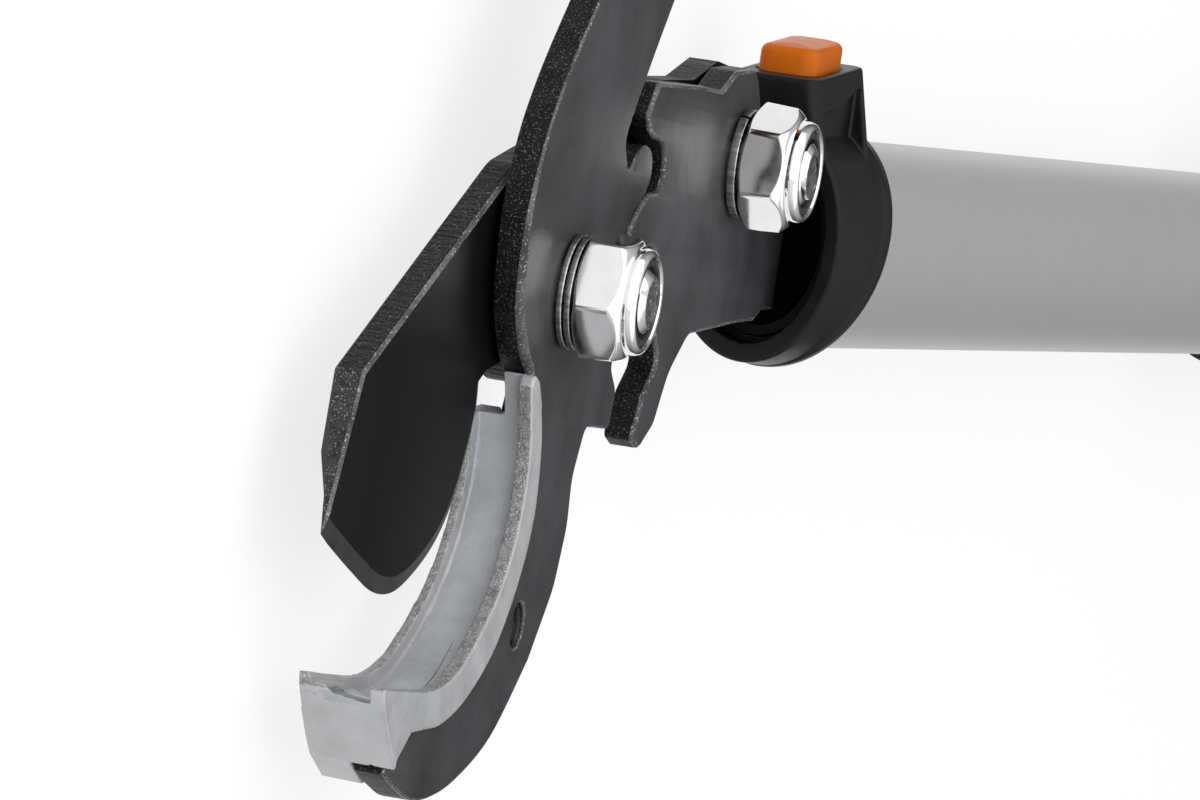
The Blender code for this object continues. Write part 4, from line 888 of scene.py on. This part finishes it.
def build_fasteners():
    ring_inner, ring_outer = 0.00525, 0.0062
    rear_outer, rear_low, rear_high = 0.0100, -0.0113, -0.0100
    for name, centre, low, turn, body in (("pivot", PIVOT, PIVOT_NUT_LOW, 12.0, "anvil_arm"),
                                          ("lever", LEVER_PIVOT, LEVER_NUT_LOW, 30.0, "blade")):
        build_bolt(name + "_bolt", centre, low, body)
        build_nut(name + "_nut", centre, low, turn, body)
        top = low + NUT_HEIGHT
        build_washer(name + "_ring_detail", name + "_nut_ring", centre, body, ring_inner, ring_outer,
                     top - 0.0020, top - 0.0003, NYLON, "nylon")
        build_washer(name + "_rear_washer_detail", name + "_rear_washer", centre, body, PIVOT_HOLE,
                     rear_outer, rear_low, rear_high)
    for number, low, high in ((1, 0.0003, 0.0012), (2, 0.0015, 0.0024)):
        build_washer("washer_detail_%d" % number, "pivot_washer_%d" % number, PIVOT, "anvil_arm", PIVOT_HOLE,
                     WASHER_RADIUS, low, high)
    build_spring_washer("spring_washer_detail", "lever_spring_washer", LEVER_PIVOT, "blade", PIVOT_HOLE,
                        WASHER_RADIUS, 0.00036, 0.00174)


# Handles

def frame_of(side):
    """A handle's own frame: X along it, Y towards its button."""
    if side == "a":
        return (Matrix.Translation((*ARM_COLLAR, HANDLE_Z)) @ Matrix.Rotation(radians(ARM_ANGLE), 4, "Z")
                @ Matrix.Rotation(pi, 4, "X"))
    return Matrix.Translation((*LEVER_COLLAR, HANDLE_Z)) @ Matrix.Rotation(radians(LEVER_ANGLE), 4, "Z")


def oval(half_across, half_upright):
    count = 96
    angles = [2 * pi * i / count for i in range(count)]
    return [(half_across * cos(angle), half_upright * sin(angle)) for angle in angles]


def oval_rows(stations):
    return [[(along, y, z) for y, z in oval(across, upright)] for along, across, upright in stations]


def tube_mesh(name, start, end, across, upright, wall):
    """A tube whose near end has its second surface: near black, painted shade inside the collar's mouth."""
    outer = [(start, across, upright), (start + 0.0002, across, upright), (end, across, upright)]
    inner = [(end, across - wall, upright - wall), (start, across - wall, upright - wall)]
    mesh = grid_mesh(name, oval_rows(outer + inner), closed_rows=True)
    # The near end face gets the near-black surface as painted shade.
    painted_shade_end = [int(polygon.center.x < start + 0.00005) for polygon in mesh.polygons]
    mesh.polygons.foreach_set("material_index", painted_shade_end)
    return mesh


def rectangle(middle, half_x, half_z, radius):
    return outline([(middle - half_x, -half_z, radius), (middle + half_x, -half_z, radius),
                    (middle + half_x, half_z, radius), (middle - half_x, half_z, radius)])


def sloped(points, height):
    """Points at a height over the handle that grows away from the head, as the tower's top does."""
    slope, level_at = tan(radians(6.0)), -0.0029
    return [(x, height + (x - level_at) * slope, z) for x, z in points]


def solid(name, rows):
    """A closed body through rows, used to shape another piece."""
    return linked(name, grid_mesh(name, capped(rows)))


def collar_mesh():
    """The collar: a sleeve with a slanted rim, and the button's tower with a hollow in each side. Its faces
    deep inside the mouth are painted near black as shade.
    """
    slant = 0.45
    stations = [(0, 0, 0.0181, 0.0125), (0.0002, 0, 0.01855, 0.01295), (0.0006, 0, 0.0187, 0.0131),
                (0.0185, slant, 0.0190, 0.01395), (0.0196, slant, 0.0190, 0.0141),
                (0.0200, slant, 0.0192, 0.0146), (0.0205, slant, 0.0193, 0.0148),
                (0.0234, slant, 0.0193, 0.0148), (0.0238, slant, 0.0191, 0.0146),
                (0.0240, slant, 0.0187, 0.0142)]
    rows = [[(along + turned * y, y, z) for y, z in oval(across, upright)]
            for along, turned, across, upright in stations]
    body = solid("collar_body", rows)
    middle, half_x, half_z, corner = 0.0113, 0.0142, 0.00665, 0.0022
    foot, foot_half_z, top = 0.0130, 0.0098, 0.0250
    rows = [[(x, foot, z) for x, z in rectangle(middle, half_x, foot_half_z, corner)]]
    for below, inset in ((0.0005, 0), (0.0002, 0.0001), (0, 0.0004)):
        shape = rectangle(middle, half_x - inset, half_z - inset, corner - inset)
        rows.append(sloped(shape, top - below))
    tower = solid("tower", rows)
    hollows = [prism("hollow_%d" % side, mm(TOWER_HOLLOW), *sorted((side * 0.0060, side * 0.0200)))
               for side in (-1, 1)]
    combined(tower, hollows)
    bore = solid("bore", oval_rows([(0.0060, 0.0166, 0.0121), (0.048, 0.0166, 0.0121)]))
    mouth = solid("mouth", oval_rows([(-0.006, 0.0157, 0.0103), (0.0124, 0.0157, 0.0103)]))
    well = rectangle(BUTTON_MIDDLE, 0.0093, 0.0049, 0.0029)
    pocket = solid("pocket", [[(x, height, z) for x, z in well] for height in (0.0195, 0.050)])
    combined(body, [tower], "UNION")
    combined(body, [bore, mouth, pocket])
    mesh = settled(body, [tower, bore, mouth, pocket] + hollows, voxel=0.00028, keep=0.35)
    inside_across, inside_upright, lip = 0.0172, 0.0127, 0.0032
    # Faces inside the mouth, past its lip, take the plastic painted near black as shade.
    kinds = []
    for polygon in mesh.polygons:
        along, across, upright = polygon.center
        within = (across / inside_across) ** 2 + (upright / inside_upright) ** 2 < 1
        inwards = polygon.normal.y * across + polygon.normal.z * upright < 0
        kinds.append(int(within and inwards and along > lip))
    mesh.polygons.foreach_set("material_index", kinds)
    return mesh


def button_mesh():
    """The button: upright sides, well rounded corners and a softly crowned top."""
    half_x, half_z, corner = 0.0090, 0.0046, 0.0026
    under, height = 0.0228, 0.0065
    round_off, round_steps, crown, crown_steps = 0.0013, 8, 0.00035, 6
    # Each row: how high it is over the button's foot, how far it lies inwards
    rows = [(0, 0.0006), (0.0006, 0), (height / 2, 0)]
    for k in range(round_steps + 1):
        turn = pi / 2 * k / round_steps
        rows.append((height - crown - round_off + round_off * sin(turn), round_off * (1 - cos(turn))))
    for k in range(1, crown_steps + 1):
        share = k / crown_steps
        rows.append((height - crown * (1 - share) ** 2, round_off + (half_z - round_off - 0.0002) * share))
    shapes = []
    for up, inset in rows:
        shape = rectangle(BUTTON_MIDDLE, half_x - inset, half_z - inset, max(0.0001, corner - inset))
        shapes.append(sloped(shape, under + up))
    return grid_mesh("button_shape", capped(shapes))


def grip_mesh():
    """The soft sleeve: it swells under the palm, has shallow grooves round it and flares at its end."""
    base = [(GRIP_START, 0.0172, 0.0128), (0.3455, 0.0174, 0.0130), (0.347, 0.0182, 0.0137),
            (0.357, 0.0188, 0.0146), (0.390, 0.0196, GRIP_UPRIGHT), (0.445, 0.0190, GRIP_UPRIGHT),
            (0.477, 0.0196, GRIP_UPRIGHT), (0.493, 0.0223, GRIP_UPRIGHT), (0.4995, 0.0227, GRIP_UPRIGHT),
            (HANDLE_END, 0.0224, 0.0154)]
    grooves_from, grooves_to, grooves, groove_depth = 0.360, 0.478, 14, 0.0004
    stations = []
    for along, across, upright in smooth(base):
        share = (along - grooves_from) / (grooves_to - grooves_from)
        groove = groove_depth * max(0.0, sin(share * pi * grooves)) ** 4 if 0 < share < 1 else 0.0
        stations.append((along, across - groove, min(upright, GRIP_UPRIGHT) - groove))
    inner = [(HANDLE_END, 0.0166, 0.0121), (GRIP_START, 0.0166, 0.0121)]
    return grid_mesh("grip_shape", oval_rows(stations + inner), closed_rows=True)


def cap_mesh():
    stations = [(0.5003, 0.0160, 0.0100), (0.5003, 0.0224, 0.0154), (0.5006, 0.0227, GRIP_UPRIGHT),
                (0.5060, 0.0224, GRIP_UPRIGHT), (0.5078, 0.0218, 0.0152), (0.5095, 0.0206, 0.0138),
                (0.5112, 0.0185, 0.0117), (0.5120, 0.0160, 0.0094), (0.51195, 0.0120, 0.0070)]
    return grid_mesh("cap_shape", capped(oval_rows(stations)))


def build_handles():
    tube = tube_mesh("outer_shape", 0.0063, HANDLE_END, 0.0163, 0.0118, 0.0015)
    # Piece, mesh, body, slot, node, surfaces, sharp angle; the side's letter ends the names
    pieces = [("collar_moulding_", collar_mesh(), "handle_", "black_plastic", "collar_",
               [PLASTIC, PLASTIC_PAINTED_SHADE], 0),
              ("button_moulding_", button_mesh(), "button_", "orange_plastic", "button_", [ORANGE], 35),
              ("sleeve_", grip_mesh(), "handle_", "rubber", "grip_", [RUBBER], 35),
              ("cap_moulding_", cap_mesh(), "handle_", "black_plastic", "end_cap_", [PLASTIC], 35),
              ("painted_tube_", tube, "handle_", "grey_tube", "outer_tube_", [TUBE, DARK_TUBE_AND_SHADE], 35)]
    for side in "ab":
        for name, mesh, body, slot, replaced, surfaces, sharp in pieces:
            finish_piece(name + side, mesh.copy(), body + side, slot, [replaced + side], surfaces, sharp,
                         frame_of(side))


# The solids that no piece replaces, the stage, the camera and the light

def dress_nodes():
    """Every solid gets its slot's surface."""
    for entry in frame["record"]["subparts"]:
        found = frame["nodes"][entry["node"]]
        found.data.materials.clear()
        found.data.materials.append(BY_SLOT[entry["material_slot"]])


def build_stage():
    """A pale floor, whose look to the camera is partly its own light."""
    mesh = bpy.data.meshes.new("floor")
    half, own_light = 6.0, 0.80
    corners = [(-half, -half, 0), (half, -half, 0), (half, half, 0), (-half, half, 0)]
    mesh.from_pydata(corners, [], [(0, 1, 2, 3)])
    floor = linked("floor", mesh)
    made = bpy.data.materials.new("pale_floor")
    made.use_nodes = True
    tree = made.node_tree
    shader = tree.nodes["Principled BSDF"]
    shader.inputs["Base Color"].default_value = (0.90, 0.90, 0.90, 1)
    shader.inputs["Roughness"].default_value = 0.9
    shader.inputs["Specular IOR Level"].default_value = 0.1
    white = node(tree, "Emission", [("Color", (1, 1, 1, 1)), ("Strength", 1.0)]).outputs[0]
    rays = node(tree, "LightPath").outputs
    seen = reckoned(tree, "MAXIMUM", rays["Is Camera Ray"], rays["Is Glossy Ray"])
    share = reckoned(tree, "MULTIPLY", seen, own_light)
    mixed = node(tree, "MixShader", [("Fac", share)])
    tree.links.new(shader.outputs[0], mixed.inputs[1])
    tree.links.new(white, mixed.inputs[2])
    tree.links.new(mixed.outputs[0], tree.nodes["Material Output"].inputs["Surface"])
    mesh.materials.append(made)


def softbox(name, target, right, up, back, size, watts):
    """A square lamp that faces a target, placed along the camera's axes."""
    where = Vector(target) + RIGHT * right + UP * up - FORWARD * back
    data = bpy.data.lights.new(name, "AREA")
    data.size = size
    data.energy = watts
    lamp = linked(name, data)
    lamp.location = where
    lamp.rotation_euler = (Vector(target) - where).to_track_quat("-Z", "Y").to_euler()


CAMERA_PLACE = Vector((-1.4472, -0.0145, 0.4125))
RIGHT = Vector((0.2556, 0.1564, 0.9540)).normalized()
UP = Vector((-0.0405, 0.9877, -0.1511)).normalized()
FORWARD = Vector((0.9659, 0.0, -0.2588)).normalized()


def build_camera():
    data = bpy.data.cameras.new("camera")
    data.sensor_width = 36.0
    data.lens = 319.5
    data.clip_start, data.clip_end = 0.05, 50
    camera = linked("camera", data)
    turned = Matrix((RIGHT, UP, -FORWARD)).transposed().to_4x4()
    camera.matrix_world = Matrix.Translation(CAMERA_PLACE) @ turned
    bpy.context.scene.camera = camera


def build_light():
    """Three soft lamps, and a world that is bright above and dark low down behind the object."""
    head = (0.01, 0.0, FACE_HEIGHT)
    softbox("key", head, right=1.2, up=1.2, back=0.9, size=3.0, watts=22)
    softbox("fill", head, right=1.5, up=-0.9, back=0.6, size=2.6, watts=9)
    softbox("front", head, right=0.75, up=0.15, back=2.4, size=2.4, watts=14)
    world = bpy.context.scene.world or bpy.data.worlds.new("world")
    bpy.context.scene.world = world
    world.use_nodes = True
    tree = world.node_tree
    background = tree.nodes["Background"]
    background.inputs["Color"].default_value = (1, 1, 1, 1)
    darker_behind, lowest, highest, dark, bright = -0.55, -0.35, 0.75, 0.07, 0.90
    direction = node(tree, "TexCoord").outputs["Generated"]
    axes = node(tree, "SeparateXYZ", [(0, direction)]).outputs
    height = reckoned(tree, "ADD", axes["Z"], reckoned(tree, "MULTIPLY", axes["X"], darker_behind))
    strength = ranged(tree, height, lowest, highest, dark, bright)
    tree.links.new(strength, background.inputs["Strength"])


def build():
    dress_nodes()
    build_arm_and_lever()
    build_tapped_hole()
    build_blade()
    build_anvil()
    build_fasteners()
    build_handles()
    build_stage()
    build_camera()
    build_light()
    bpy.context.scene.view_settings.view_transform = "Standard"


build()
